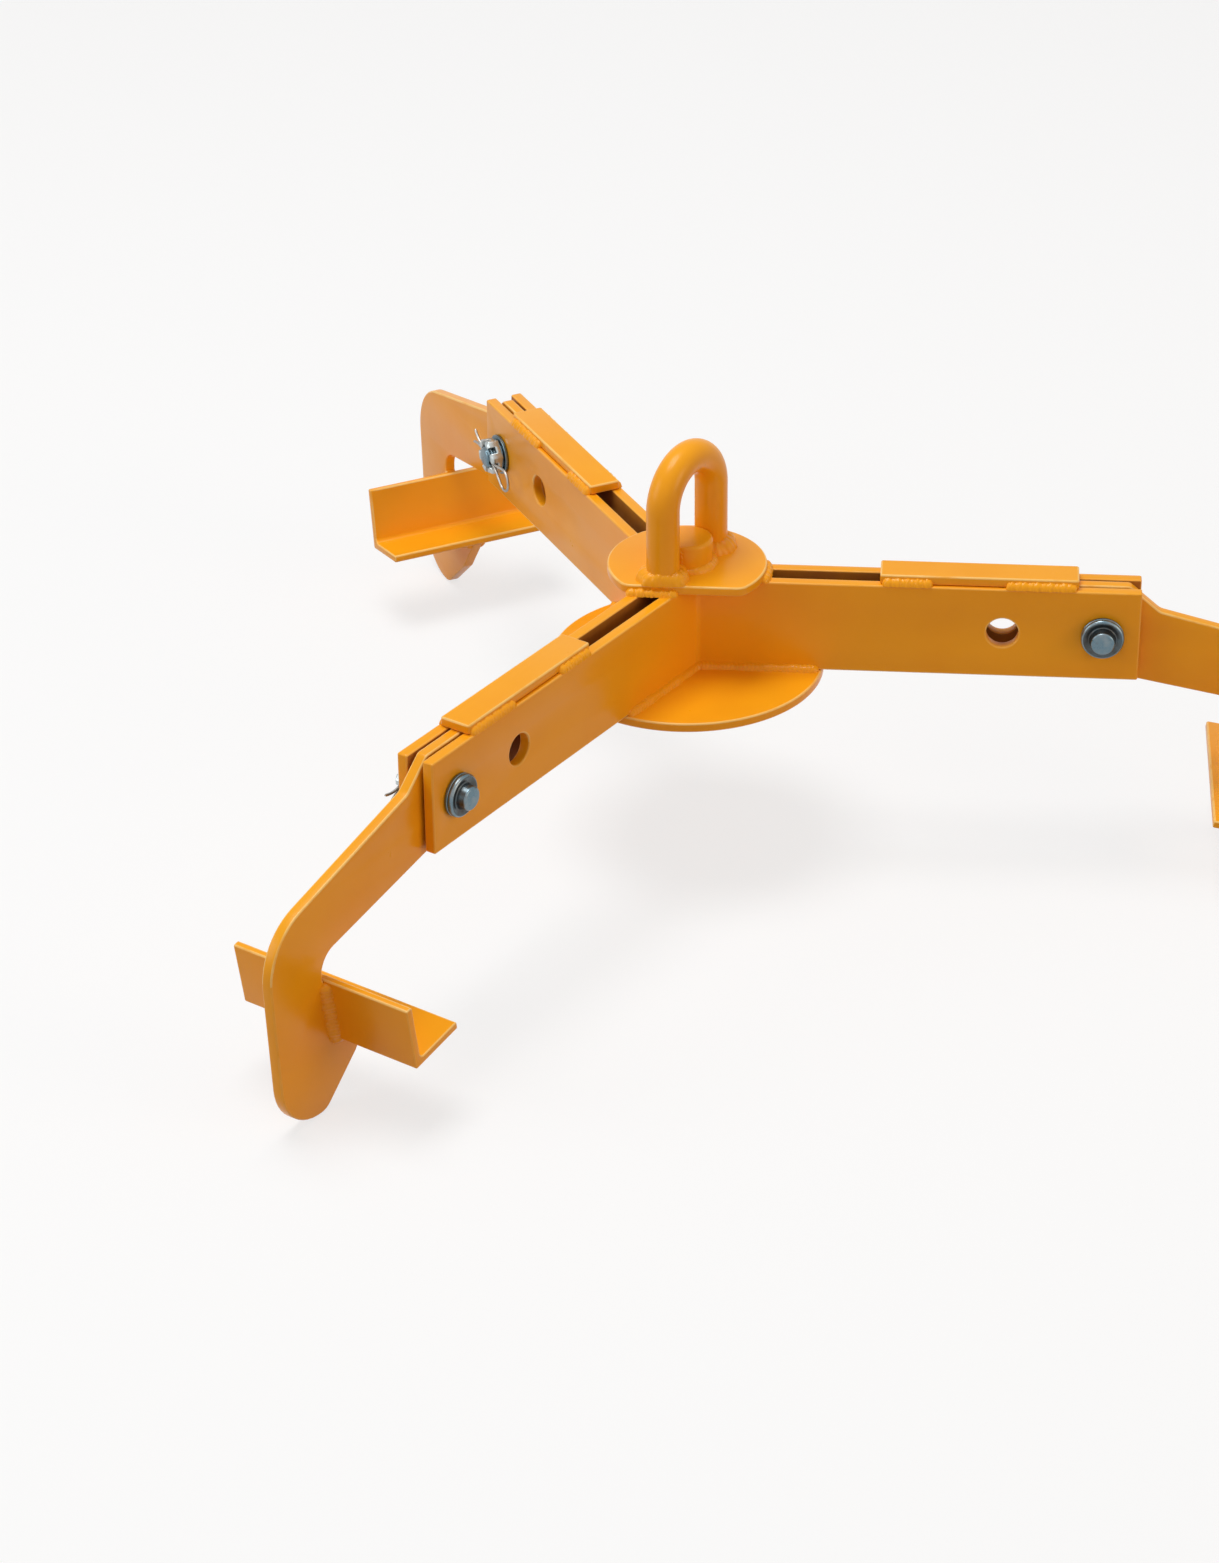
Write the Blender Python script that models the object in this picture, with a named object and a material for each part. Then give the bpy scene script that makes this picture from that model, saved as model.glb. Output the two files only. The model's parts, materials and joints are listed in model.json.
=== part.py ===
"""Three-arm drum lifter with swinging rim hooks.

Metres, +Z up. The origin is the point inside the lifting eye where a hoist bears.
Arm 1 runs along +X, and arms 2 and 3 follow counter-clockwise seen from above.
Each arm is a slot between two bent side plates, and a hook plate swings in it on a bolt.
"""

import math

import bmesh
import bpy
from mathutils import Matrix, Vector

# Clearance kept between touching pieces, and the angle below which faces blend
GAP = 0.0003
SMOOTH = math.radians(35)

# Arms
ARM_COUNT = 3
ARM_LENGTH = 0.232
ARM_HEIGHT = 0.050
PLATE_THICKNESS = 0.006
SLOT_WIDTH = 0.009
BEND_RADIUS = 0.004
PLATE_EDGE = 0.0005
BEND_STEPS = 6

# Hub
TOP_DISC_RADIUS = 0.041
TOP_DISC_THICKNESS = 0.005
TOP_DISC_FLAT = 0.028
TOP_DISC_CORNER = 0.007
DISC_STEPS = 48
BASE_DISC_RADIUS = 0.071
BASE_DISC_THICKNESS = 0.005
BASE_DISC_SIDES = 72
BOSS_HEIGHT = 0.014
BOSS_EDGE = 0.0015

# Lifting eye, a round bar bent over the hub
EYE_BAR = 0.017
EYE_SPAN = 0.044
EYE_DEPTH = 0.0502
EYE_TURN = math.radians(60)
EYE_SIDES = 20
EYE_STEPS = 16

# Cap welded over each slot
CAP_START = 0.099
CAP_LENGTH = 0.101
CAP_WIDTH = 0.017
CAP_THICKNESS = 0.005

# Holes along each arm
PIVOT_REACH = 0.213
SPARE_REACH = 0.162
SPARE_HOLE = 0.0165
HOLE_SIDES = 32

# Pivot bolt, washers, bush, castle nut and split pin
BOLT_DIAMETER = 0.012
HEAD_DIAMETER = 0.022
HEAD_HEIGHT = 0.007
HEAD_RIM = 0.0025
HEAD_FACE = 0.010
HEAD_STEPS = 4
WASHER_DIAMETER = 0.022
WASHER_THICKNESS = 0.0015
BUSH_DIAMETER = 0.016
NUT_FLATS = 0.018
NUT_HEIGHT = 0.0075
NUT_SLOT_DEPTH = 0.004
NUT_SLOT_WIDTH = 0.0038
NUT_CHAMFER = 0.0011
BOLT_PAST_NUT = 0.0008
BOLT_TIP = 0.0012
PIN_WIRE = 0.0015
PIN_NECK = 0.006
PIN_EYE = 0.006
PIN_TAIL = 0.010
PIN_SPREAD = 0.0035
PIN_TURN = math.radians(-75)
PIN_LEG_STEPS = 4
PIN_EYE_STEPS = 14
PIN_SIDES = 8
ROUND_SIDES = 36
HEAD_SIDE = (-1, -1, 1)

# Hook plate, measured from the pivot: outwards and upwards
HOOK_THICKNESS = 0.006
HOOK_EDGE = 0.0006
TAIL_BACK = 0.038
TAIL_FRONT = 0.013
TAIL_DROP = 0.023
TAIL_CORNER = 0.004
TAIL_HEEL = 0.008
NECK_OUT = 0.029
NECK_UP = 0.011
NECK_CORNER = 0.008
SHOULDER_OUT = 0.1375
SHOULDER_UP = -0.0178
SHOULDER_RADIUS = 0.032
BACK_TAPER = 0.0065
TOE_DROP = 0.129
TOE_RADIUS = 0.0285
TOE_BACK = 0.100
TOE_CORNER = 0.010
HEEL_OUT = 0.076
HEEL_DROP = 0.108
ARM_UNDER_IN = 0.014
ARM_UNDER_IN_DROP = 0.027
THROAT_UNDER_DROP = 0.044
THROAT_RADIUS = 0.012
THROAT_STEP = 0.001
CORNER_STEPS = 7

# Rim jaw, an angle bar that hooks under the drum's rim
JAW_LENGTH = 0.104
JAW_LEG = 0.036
JAW_SHELF = 0.033
JAW_THICKNESS = 0.004
JAW_ROOT = 0.003
JAW_TIP = 0.001
JAW_STEPS = 4
JAW_TILT = math.radians(9.6)
JAW_CORNER_OUT = 0.092
JAW_CORNER_DROP = 0.092

# Heights, worked down from the eye
DISC_TOP_Z = -EYE_DEPTH
ARM_TOP_Z = DISC_TOP_Z - TOP_DISC_THICKNESS - GAP
PIVOT_Z = ARM_TOP_Z - ARM_HEIGHT / 2
ARM_LOW_Z = ARM_TOP_Z - ARM_HEIGHT
BASE_TOP_Z = ARM_LOW_Z - GAP

# Distances from an arm's centre plane
SLOT_HALF = SLOT_WIDTH / 2
ARM_HALF = SLOT_HALF + PLATE_THICKNESS
WASHER_NEAR = ARM_HALF + GAP
WASHER_FAR = WASHER_NEAR + WASHER_THICKNESS
SEAT = WASHER_FAR + GAP

BOLT_RADIUS = BOLT_DIAMETER / 2
BORE_RADIUS = BOLT_RADIUS + GAP
PIN_OFFSET = PIN_WIRE / 2 + GAP / 2
PIN_REACH = SEAT + NUT_HEIGHT - NUT_SLOT_DEPTH / 2
SECTOR = 2 * math.pi / ARM_COUNT

PAINT = ((0.90, 0.36, 0.02), 0.32, 0.0)
ZINC = ((0.52, 0.57, 0.62), 0.35, 0.9)
STEEL = ((0.45, 0.43, 0.40), 0.45, 0.9)


def clear_scene():
    """Removes whatever the opened file holds."""
    for old in list(bpy.data.objects):
        bpy.data.objects.remove(old, do_unlink=True)


def finish_of(name, finish):
    """A Principled material of one colour, roughness and metallic value."""
    colour, roughness, metallic = finish
    material = bpy.data.materials.new(name)
    material.use_nodes = True
    shader = material.node_tree.nodes["Principled BSDF"]
    shader.inputs["Base Color"].default_value = (*colour, 1.0)
    shader.inputs["Roughness"].default_value = roughness
    shader.inputs["Metallic"].default_value = metallic
    return material


def add_object(name, mesh_data, place, finish=None, parent=None):
    """Links a mesh as a named object at a world placement."""
    obj = bpy.data.objects.new(name, mesh_data)
    bpy.context.scene.collection.objects.link(obj)
    obj.parent = parent
    if parent is not None:
        bpy.context.view_layer.update()
        obj.matrix_parent_inverse = parent.matrix_world.inverted()
    obj.matrix_world = place
    if finish is not None:
        mesh_data.materials.append(finish_of(name + "_finish", finish))
    return obj


def mesh_from(name, build, smooth_below=None):
    """Runs a bmesh builder and returns a clean mesh with its faces pointing out."""
    bm = bmesh.new()
    build(bm)
    bmesh.ops.recalc_face_normals(bm, faces=bm.faces)
    mesh = bpy.data.meshes.new(name)
    bm.to_mesh(mesh)
    bm.free()
    if smooth_below is not None:
        mesh.shade_smooth()
        mesh.set_sharp_from_angle(angle=smooth_below)
    return mesh


def prism(bm, outline, low, high, axes="xy"):
    """A solid between two copies of a flat outline, raised along the third axis."""
    loops = []
    for level in (low, high):
        if axes == "xy":
            ring = [bm.verts.new((a, b, level)) for a, b in outline]
        else:
            ring = [bm.verts.new((a, level, b)) for a, b in outline]
        loops.append(ring)
    count = len(outline)
    for i in range(count):
        j = (i + 1) % count
        bm.faces.new((loops[0][i], loops[0][j], loops[1][j], loops[1][i]))
    bm.faces.new(loops[0])
    bm.faces.new(loops[1])


def arc(centre, radius, start, stop, steps):
    """Points along an arc, both ends included."""
    points = []
    for i in range(steps + 1):
        angle = start + (stop - start) * i / steps
        points.append((centre[0] + radius * math.cos(angle), centre[1] + radius * math.sin(angle)))
    return points


def rounded(corners, steps=CORNER_STEPS):
    """A closed outline through corners given as (across, up, fillet radius)."""
    count = len(corners)
    edges = []
    trims = []
    for i, (x, y, radius) in enumerate(corners):
        before = Vector(corners[i - 1][:2]) - Vector((x, y))
        after = Vector(corners[(i + 1) % count][:2]) - Vector((x, y))
        edges.append((before, after))
        trims.append(radius / math.tan(before.angle(after) / 2))
    outline = []
    for i, (before, after) in enumerate(edges):
        here = Vector(corners[i][:2])
        if trims[i] <= 0:
            outline.append(tuple(here))
            continue
        # Two fillets that meet on one edge share its length
        share = min(
            1, before.length / (trims[i] + trims[i - 1]),
            after.length / (trims[i] + trims[(i + 1) % count]))
        trim = trims[i] * share
        half = before.angle(after) / 2
        fillet = trim * math.tan(half)
        middle = (before.normalized() + after.normalized()).normalized()
        centre = here + middle * (fillet / math.sin(half))
        first = here + before.normalized() * trim - centre
        last = here + after.normalized() * trim - centre
        start = math.atan2(first.y, first.x)
        sweep = math.atan2(first.x * last.y - first.y * last.x, first.dot(last))
        outline.extend(arc(centre, fillet, start, start + sweep, steps))
    return outline


def turned(bm, rings, sides=ROUND_SIDES, hollow=False):
    """A body turned about Z from rings of (height, radius, across flats or None)."""
    loops = []
    for height, radius, flats in rings:
        loop = []
        for i in range(sides):
            angle = 2 * math.pi * i / sides
            reach = radius
            if flats:
                from_flat = angle % (math.pi / 3) - math.pi / 6
                reach = min(radius, flats / 2 / math.cos(from_flat))
            loop.append(bm.verts.new((reach * math.cos(angle), reach * math.sin(angle), height)))
        loops.append(loop)
    pairs = list(zip(loops, loops[1:]))
    if hollow:
        pairs.append((loops[-1], loops[0]))
    for lower, upper in pairs:
        for i in range(sides):
            j = (i + 1) % sides
            bm.faces.new((lower[i], lower[j], upper[j], upper[i]))
    if not hollow:
        bm.faces.new(loops[0])
        bm.faces.new(loops[-1])


def sleeve_rings(low, high, inner, outer, flats=None, chamfer=0.0):
    """Rings for a washer, bush or nut between two heights."""
    rings = [(low, outer, flats)]
    if chamfer:
        rings.append((high - chamfer, outer, flats))
        rings.append((high, outer - 2 * chamfer, flats))
    else:
        rings.append((high, outer, flats))
    rings += [(high, inner, None), (low, inner, None)]
    return rings


def swept(bm, path, radius, sides):
    """A round bar along a list of points, closed by flat ends."""
    loops = []
    across = None
    for i, point in enumerate(path):
        ahead = path[min(i + 1, len(path) - 1)]
        behind = path[max(i - 1, 0)]
        along = (ahead - behind).normalized()
        if across is None:
            across = along.orthogonal().normalized()
        across = (across - along * across.dot(along)).normalized()
        other = along.cross(across)
        loop = []
        for k in range(sides):
            angle = 2 * math.pi * k / sides
            loop.append(bm.verts.new(point + (across * math.cos(angle) + other * math.sin(angle)) * radius))
        loops.append(loop)
    for lower, upper in zip(loops, loops[1:]):
        for k in range(sides):
            n = (k + 1) % sides
            bm.faces.new((lower[k], lower[n], upper[n], upper[k]))
    bm.faces.new(loops[0])
    bm.faces.new(loops[-1])


def soften(obj, width, segments=1):
    """Breaks the sharp edges of a plate."""
    bevel = obj.modifiers.new("edge", "BEVEL")
    bevel.width = width
    bevel.segments = segments
    bevel.limit_method = "ANGLE"
    bevel.angle_limit = math.radians(40)
    return bevel


def cut(obj, name, build, place):
    """Takes a hidden cutter away from a piece."""
    cutter = add_object(name, mesh_from(name, build), place)
    cutter.hide_render = True
    cutter.display_type = "WIRE"
    boolean = obj.modifiers.new(name, "BOOLEAN")
    boolean.operation = "DIFFERENCE"
    boolean.solver = "EXACT"
    boolean.object = cutter


def arm_place(arm):
    """The placement of an arm: +X outwards along it, origin on the hub axis."""
    return Matrix.Rotation(arm * SECTOR, 4, "Z")


def pivot_place(arm):
    """The placement of an arm's pivot, the point that its hook swings about."""
    return arm_place(arm) @ Matrix.Translation((PIVOT_REACH, 0, PIVOT_Z))


def bolt_place(arm):
    """The placement of an arm's fasteners: +Z points at the bolt's head, +Y at the pin's legs."""
    facing = Matrix.Rotation(-HEAD_SIDE[arm] * math.pi / 2, 4, "X")
    return pivot_place(arm) @ facing @ Matrix.Rotation(PIN_TURN, 4, "Z")


def side_plate_outline():
    """Plan of a bent side plate, with its bend's bisector along +X."""
    half = SECTOR / 2
    centre = ((ARM_HALF + BEND_RADIUS) / math.sin(half), 0)
    turn = half + math.pi / 2
    outline = []
    for offset, radius, side in (
        (SLOT_HALF, BEND_RADIUS + PLATE_THICKNESS, 1),
        (ARM_HALF, BEND_RADIUS, -1),
    ):
        ends = []
        for lean in (side, -side):
            along = Vector((math.cos(half), lean * math.sin(half)))
            away = Vector((math.sin(half), -lean * math.cos(half)))
            ends.append(tuple(along * ARM_LENGTH + away * offset))
        bend = arc(centre, radius, turn, 2 * math.pi - turn, BEND_STEPS)
        outline += [ends[0], *(bend if side > 0 else reversed(bend)), ends[1]]
    return outline


def side_plates():
    """Three bent flats, each of which forms one side of two neighbouring arms."""
    for arm in range(ARM_COUNT):
        place = arm_place(arm) @ Matrix.Rotation(SECTOR / 2, 4, "Z")
        name = f"side_plate_{arm + 1}"
        outline = side_plate_outline()
        mesh = mesh_from(name, lambda bm: prism(bm, outline, ARM_LOW_Z, ARM_TOP_Z), SMOOTH)
        plate = add_object(name, mesh, place, PAINT)
        soften(plate, PLATE_EDGE)

        def holes(bm):
            for turn, side in ((-SECTOR / 2, 1), (SECTOR / 2, -1)):
                for reach, diameter in ((PIVOT_REACH, 2 * BORE_RADIUS), (SPARE_REACH, SPARE_HOLE)):
                    middle = side * (SLOT_HALF + ARM_HALF) / 2
                    spot = Matrix.Rotation(turn, 4, "Z") @ Matrix.Translation((reach, middle, PIVOT_Z))
                    bmesh.ops.create_cone(
                        bm, cap_ends=True, segments=HOLE_SIDES, radius1=diameter / 2,
                        radius2=diameter / 2, depth=2 * PLATE_THICKNESS,
                        matrix=spot @ Matrix.Rotation(math.pi / 2, 4, "X"))

        cut(plate, f"side_plate_{arm + 1}_holes", holes, place)


def top_disc_outline():
    """A circle with one side cut off straight, its corners rounded."""
    inner = TOP_DISC_RADIUS - TOP_DISC_CORNER
    drop = TOP_DISC_FLAT - TOP_DISC_CORNER
    across = math.sqrt(inner * inner - drop * drop)
    lean = math.atan2(drop, across)
    outline = arc((0, 0), TOP_DISC_RADIUS, -lean, math.pi + lean, DISC_STEPS)
    outline += arc((-across, -drop), TOP_DISC_CORNER, math.pi + lean, 1.5 * math.pi, CORNER_STEPS)[1:]
    outline += arc((across, -drop), TOP_DISC_CORNER, -math.pi / 2, -lean, CORNER_STEPS)[:-1]
    return outline


def hub():
    """The two discs that tie the bent plates together, and the boss below the eye."""
    outline = top_disc_outline()
    low = DISC_TOP_Z - TOP_DISC_THICKNESS
    mesh = mesh_from("top_disc", lambda bm: prism(bm, outline, low, DISC_TOP_Z), SMOOTH)
    soften(add_object("top_disc", mesh, Matrix(), PAINT), PLATE_EDGE)

    circle = arc((0, 0), BASE_DISC_RADIUS, 0, 2 * math.pi, BASE_DISC_SIDES)[:-1]
    low = BASE_TOP_Z - BASE_DISC_THICKNESS
    mesh = mesh_from("base_disc", lambda bm: prism(bm, circle, low, BASE_TOP_Z), SMOOTH)
    soften(add_object("base_disc", mesh, Matrix(), PAINT), PLATE_EDGE)

    radius = (EYE_SPAN - EYE_BAR) / 2 - GAP
    low = DISC_TOP_Z + GAP
    high = low + BOSS_HEIGHT
    rings = [(low, radius, None), (high - BOSS_EDGE, radius, None), (high, radius - BOSS_EDGE, None)]
    mesh = mesh_from("eye_boss", lambda bm: turned(bm, rings), SMOOTH)
    add_object("eye_boss", mesh, Matrix(), PAINT)


def lifting_eye():
    """A round bar bent into an arch that stands on the top disc."""
    reach = EYE_SPAN / 2
    crown = -(reach - EYE_BAR / 2)
    foot = DISC_TOP_Z + GAP
    path = [Vector((reach, 0, foot)), Vector((reach, 0, (foot + crown) / 2))]
    path += [Vector((x, 0, z)) for x, z in arc((0, crown), reach, 0, math.pi, EYE_STEPS)]
    path += [Vector((-reach, 0, (foot + crown) / 2)), Vector((-reach, 0, foot))]
    mesh = mesh_from("lifting_eye", lambda bm: swept(bm, path, EYE_BAR / 2, EYE_SIDES), SMOOTH)
    add_object("lifting_eye", mesh, Matrix.Rotation(EYE_TURN, 4, "Z"), PAINT)


def caps():
    """A flat that closes the top of each slot, and stops the hook's tail."""
    low = ARM_TOP_Z + GAP
    half = CAP_WIDTH / 2
    end = CAP_START + CAP_LENGTH
    outline = [(CAP_START, -half), (end, -half), (end, half), (CAP_START, half)]
    for arm in range(ARM_COUNT):
        name = f"cap_plate_{arm + 1}"
        mesh = mesh_from(name, lambda bm: prism(bm, outline, low, low + CAP_THICKNESS))
        soften(add_object(name, mesh, arm_place(arm), PAINT), PLATE_EDGE, 2)


def jaw_axes():
    """The jaw's outer corner in the arm's plane, and the directions of its two legs."""
    corner = Vector((JAW_CORNER_OUT, -JAW_CORNER_DROP))
    up = Vector((math.sin(JAW_TILT), math.cos(JAW_TILT)))
    inwards = Vector((-math.cos(JAW_TILT), math.sin(JAW_TILT)))
    return corner, up, inwards


def hook_outline():
    """Side view of a hook plate, from its tail round the shoulder to the toe and throat."""
    corner, up, inwards = jaw_axes()
    seat = corner - (up + inwards) * GAP
    back_top = corner + up * JAW_LEG
    throat_foot = seat + up * (JAW_LEG + GAP)
    throat_out = back_top.x + THROAT_STEP
    ledge_tip = seat + inwards * (JAW_SHELF - JAW_TIP)
    tail_top = ARM_HEIGHT / 2
    return rounded([
        (-TAIL_BACK, tail_top, TAIL_CORNER),
        (-TAIL_BACK, -TAIL_DROP, TAIL_HEEL),
        (ARM_UNDER_IN, -ARM_UNDER_IN_DROP, TAIL_CORNER),
        (throat_out, -THROAT_UNDER_DROP, THROAT_RADIUS),
        (throat_out, back_top.y + GAP, 0),
        (throat_foot.x, throat_foot.y, 0),
        (seat.x, seat.y, 0),
        (ledge_tip.x, ledge_tip.y, 0),
        (HEEL_OUT, -HEEL_DROP, TOE_CORNER),
        (TOE_BACK, -TOE_DROP, TOE_CORNER),
        (SHOULDER_OUT - BACK_TAPER, -TOE_DROP, TOE_RADIUS),
        (SHOULDER_OUT, SHOULDER_UP, SHOULDER_RADIUS),
        (NECK_OUT, NECK_UP, NECK_CORNER),
        (TAIL_FRONT, tail_top, TAIL_CORNER),
    ])


def jaw_outline():
    """Section of the rim jaw, an angle bar leaning with the rim."""
    corner, up, inwards = jaw_axes()
    corners = []
    for rise, run, radius in (
        (0, 0, JAW_TIP),
        (0, JAW_SHELF, JAW_TIP),
        (JAW_THICKNESS, JAW_SHELF, JAW_TIP),
        (JAW_THICKNESS, JAW_THICKNESS, JAW_ROOT),
        (JAW_LEG, JAW_THICKNESS, JAW_TIP),
        (JAW_LEG, 0, JAW_TIP),
    ):
        spot = corner + up * rise + inwards * run
        corners.append((spot.x, spot.y, radius))
    return rounded(corners, JAW_STEPS)


def hooks():
    """Each hook plate and its jaw turn together about the pivot bolt."""
    plate = hook_outline()
    section = jaw_outline()
    half = HOOK_THICKNESS / 2
    for arm in range(ARM_COUNT):
        place = pivot_place(arm)
        pivot = bpy.data.objects.new(f"hook_pivot_{arm + 1}", None)
        bpy.context.scene.collection.objects.link(pivot)
        pivot.matrix_world = place

        name = f"hook_plate_{arm + 1}"
        mesh = mesh_from(name, lambda bm: prism(bm, plate, -half, half, "xz"), SMOOTH)
        hook = add_object(name, mesh, place, PAINT, pivot)
        soften(hook, HOOK_EDGE)

        def bore(bm):
            bmesh.ops.create_cone(
                bm, cap_ends=True, segments=HOLE_SIDES, radius1=BUSH_DIAMETER / 2 + GAP,
                radius2=BUSH_DIAMETER / 2 + GAP, depth=2 * HOOK_THICKNESS,
                matrix=Matrix.Rotation(math.pi / 2, 4, "X"))

        cut(hook, f"hook_plate_{arm + 1}_bore", bore, place)

        name = f"rim_jaw_{arm + 1}"
        reach = JAW_LENGTH / 2
        mesh = mesh_from(name, lambda bm: prism(bm, section, -reach, reach, "xz"), SMOOTH)
        add_object(name, mesh, place, PAINT, pivot)


def split_pin_path():
    """A wire through the bolt's cross hole, its eye on one side and its legs spread on the other."""
    nut_side = NUT_FLATS / 2 + GAP
    eye_out = nut_side + PIN_NECK + PIN_EYE
    start = math.acos(PIN_EYE / (PIN_NECK + PIN_EYE))
    leg = []
    for i in range(PIN_LEG_STEPS + 1):
        share = i / PIN_LEG_STEPS
        leg.append((PIN_OFFSET + PIN_SPREAD * share * share, nut_side + PIN_TAIL * share))
    leg.reverse()
    leg.append((PIN_OFFSET, -nut_side))
    eye = arc((0, -eye_out), PIN_EYE, math.pi / 2 - start, start - 1.5 * math.pi, PIN_EYE_STEPS)
    path = leg + eye + [(-x, y) for x, y in reversed(leg)]
    return [Vector((x, y, 0)) for x, y in path]


def fasteners():
    """The pivot bolt, washers, bush, castle nut and split pin of each arm."""
    corners = NUT_FLATS / math.sqrt(3)
    tip = -(SEAT + NUT_HEIGHT + BOLT_PAST_NUT)
    bolt_rings = [
        (tip, BOLT_RADIUS - BOLT_TIP, None),
        (tip + BOLT_TIP, BOLT_RADIUS, None),
        (SEAT, BOLT_RADIUS, None),
        (SEAT, HEAD_DIAMETER / 2, None),
    ]
    dome = (HEAD_DIAMETER - HEAD_FACE) / 2
    for i in range(HEAD_STEPS + 1):
        lean = math.pi / 2 * i / HEAD_STEPS
        height = SEAT + HEAD_RIM + (HEAD_HEIGHT - HEAD_RIM) * math.sin(lean)
        bolt_rings.append((height, HEAD_FACE / 2 + dome * math.cos(lean), None))
    nut_rings = sleeve_rings(SEAT, SEAT + NUT_HEIGHT, BORE_RADIUS, corners, NUT_FLATS, NUT_CHAMFER)
    nut_rings = [(-height, radius, flats) for height, radius, flats in nut_rings]
    washer = WASHER_DIAMETER / 2
    half_bush = SLOT_HALF - GAP
    sleeves = {
        "head_washer": sleeve_rings(WASHER_NEAR, WASHER_FAR, BORE_RADIUS, washer),
        "nut_washer": sleeve_rings(-WASHER_FAR, -WASHER_NEAR, BORE_RADIUS, washer),
        "pivot_bush": sleeve_rings(-half_bush, half_bush, BORE_RADIUS, BUSH_DIAMETER / 2),
    }
    pin_path = split_pin_path()

    def cross_hole(bm):
        bmesh.ops.create_cone(
            bm, cap_ends=True, segments=16, radius1=NUT_SLOT_WIDTH / 2, radius2=NUT_SLOT_WIDTH / 2,
            depth=2 * BOLT_DIAMETER,
            matrix=Matrix.Translation((0, 0, -PIN_REACH)) @ Matrix.Rotation(math.pi / 2, 4, "X"))

    def crown_slots(bm):
        for turn in range(3):
            size = Matrix.Diagonal((NUT_SLOT_WIDTH, 3 * BOLT_DIAMETER, 2 * NUT_SLOT_DEPTH, 1))
            lift = Matrix.Translation((0, 0, -(SEAT + NUT_HEIGHT)))
            bmesh.ops.create_cube(bm, size=1, matrix=lift @ Matrix.Rotation(turn * math.pi / 3, 4, "Z") @ size)

    for arm in range(ARM_COUNT):
        place = bolt_place(arm)
        number = arm + 1
        mesh = mesh_from("pivot_bolt", lambda bm: turned(bm, bolt_rings), SMOOTH)
        bolt = add_object(f"pivot_bolt_{number}", mesh, place, ZINC)
        cut(bolt, f"pivot_bolt_{number}_cross_hole", cross_hole, place)
        mesh = mesh_from("castle_nut", lambda bm: turned(bm, nut_rings, hollow=True), SMOOTH)
        nut = add_object(f"castle_nut_{number}", mesh, place, ZINC)
        cut(nut, f"castle_nut_{number}_slots", crown_slots, place)
        for piece, rings in sleeves.items():
            mesh = mesh_from(piece, lambda bm: turned(bm, rings, hollow=True), SMOOTH)
            add_object(f"{piece}_{number}", mesh, place, STEEL if piece == "pivot_bush" else ZINC)
        mesh = mesh_from("split_pin", lambda bm: swept(bm, pin_path, PIN_WIRE / 2, PIN_SIDES), SMOOTH)
        lift = Matrix.Translation((0, 0, -PIN_REACH))
        add_object(f"split_pin_{number}", mesh, place @ lift, STEEL)


def main():
    clear_scene()
    side_plates()
    hub()
    lifting_eye()
    caps()
    hooks()
    fasteners()


main()
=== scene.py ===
"""Looks of a three-arm drum lifter: gloss enamel, zinc bolts and weld beads around the fixed frame.

Metres, +Z up. The origin is the point inside the lifting eye where a hoist bears, and arm 1 runs along +X.
"""

import json
import math

import bmesh
import bpy
from mathutils import Matrix, Vector


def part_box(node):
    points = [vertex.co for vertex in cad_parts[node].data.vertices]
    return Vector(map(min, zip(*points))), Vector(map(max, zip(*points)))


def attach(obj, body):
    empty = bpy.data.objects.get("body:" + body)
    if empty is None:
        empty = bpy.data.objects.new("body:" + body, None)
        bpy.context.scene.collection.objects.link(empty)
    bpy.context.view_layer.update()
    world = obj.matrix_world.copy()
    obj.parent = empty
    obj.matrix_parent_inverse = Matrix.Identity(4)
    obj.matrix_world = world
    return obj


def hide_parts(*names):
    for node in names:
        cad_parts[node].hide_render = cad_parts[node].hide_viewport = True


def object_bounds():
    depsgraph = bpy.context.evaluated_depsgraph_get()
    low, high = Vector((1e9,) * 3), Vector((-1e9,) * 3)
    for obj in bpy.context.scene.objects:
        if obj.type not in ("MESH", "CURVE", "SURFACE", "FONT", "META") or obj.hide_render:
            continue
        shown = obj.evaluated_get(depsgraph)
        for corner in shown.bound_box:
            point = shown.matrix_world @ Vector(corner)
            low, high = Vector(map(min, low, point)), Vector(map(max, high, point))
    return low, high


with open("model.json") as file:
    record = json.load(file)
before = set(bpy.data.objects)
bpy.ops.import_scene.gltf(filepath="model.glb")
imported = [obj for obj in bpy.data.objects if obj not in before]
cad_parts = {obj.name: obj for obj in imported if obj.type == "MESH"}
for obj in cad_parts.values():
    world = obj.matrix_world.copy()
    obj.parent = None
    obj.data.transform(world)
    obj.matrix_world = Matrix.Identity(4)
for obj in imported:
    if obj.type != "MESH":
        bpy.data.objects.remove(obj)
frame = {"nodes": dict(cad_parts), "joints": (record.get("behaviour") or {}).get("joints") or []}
cad_low, cad_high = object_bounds()

bl_info = {
    "name": "Drum Lifter Looks",
    "version": (1, 0, 0),
    "blender": (4, 5, 0),
    "location": "3D View > Sidebar > Lifter",
    "description": "Builds the visible pieces and finishes of a three-arm drum lifter",
    "category": "Object",
}

# The picture's height in pixels, which the camera is made for
PICTURE_HEIGHT = 1563

# The camera's sensor, in millimetres
SENSOR = 36.0

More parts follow.
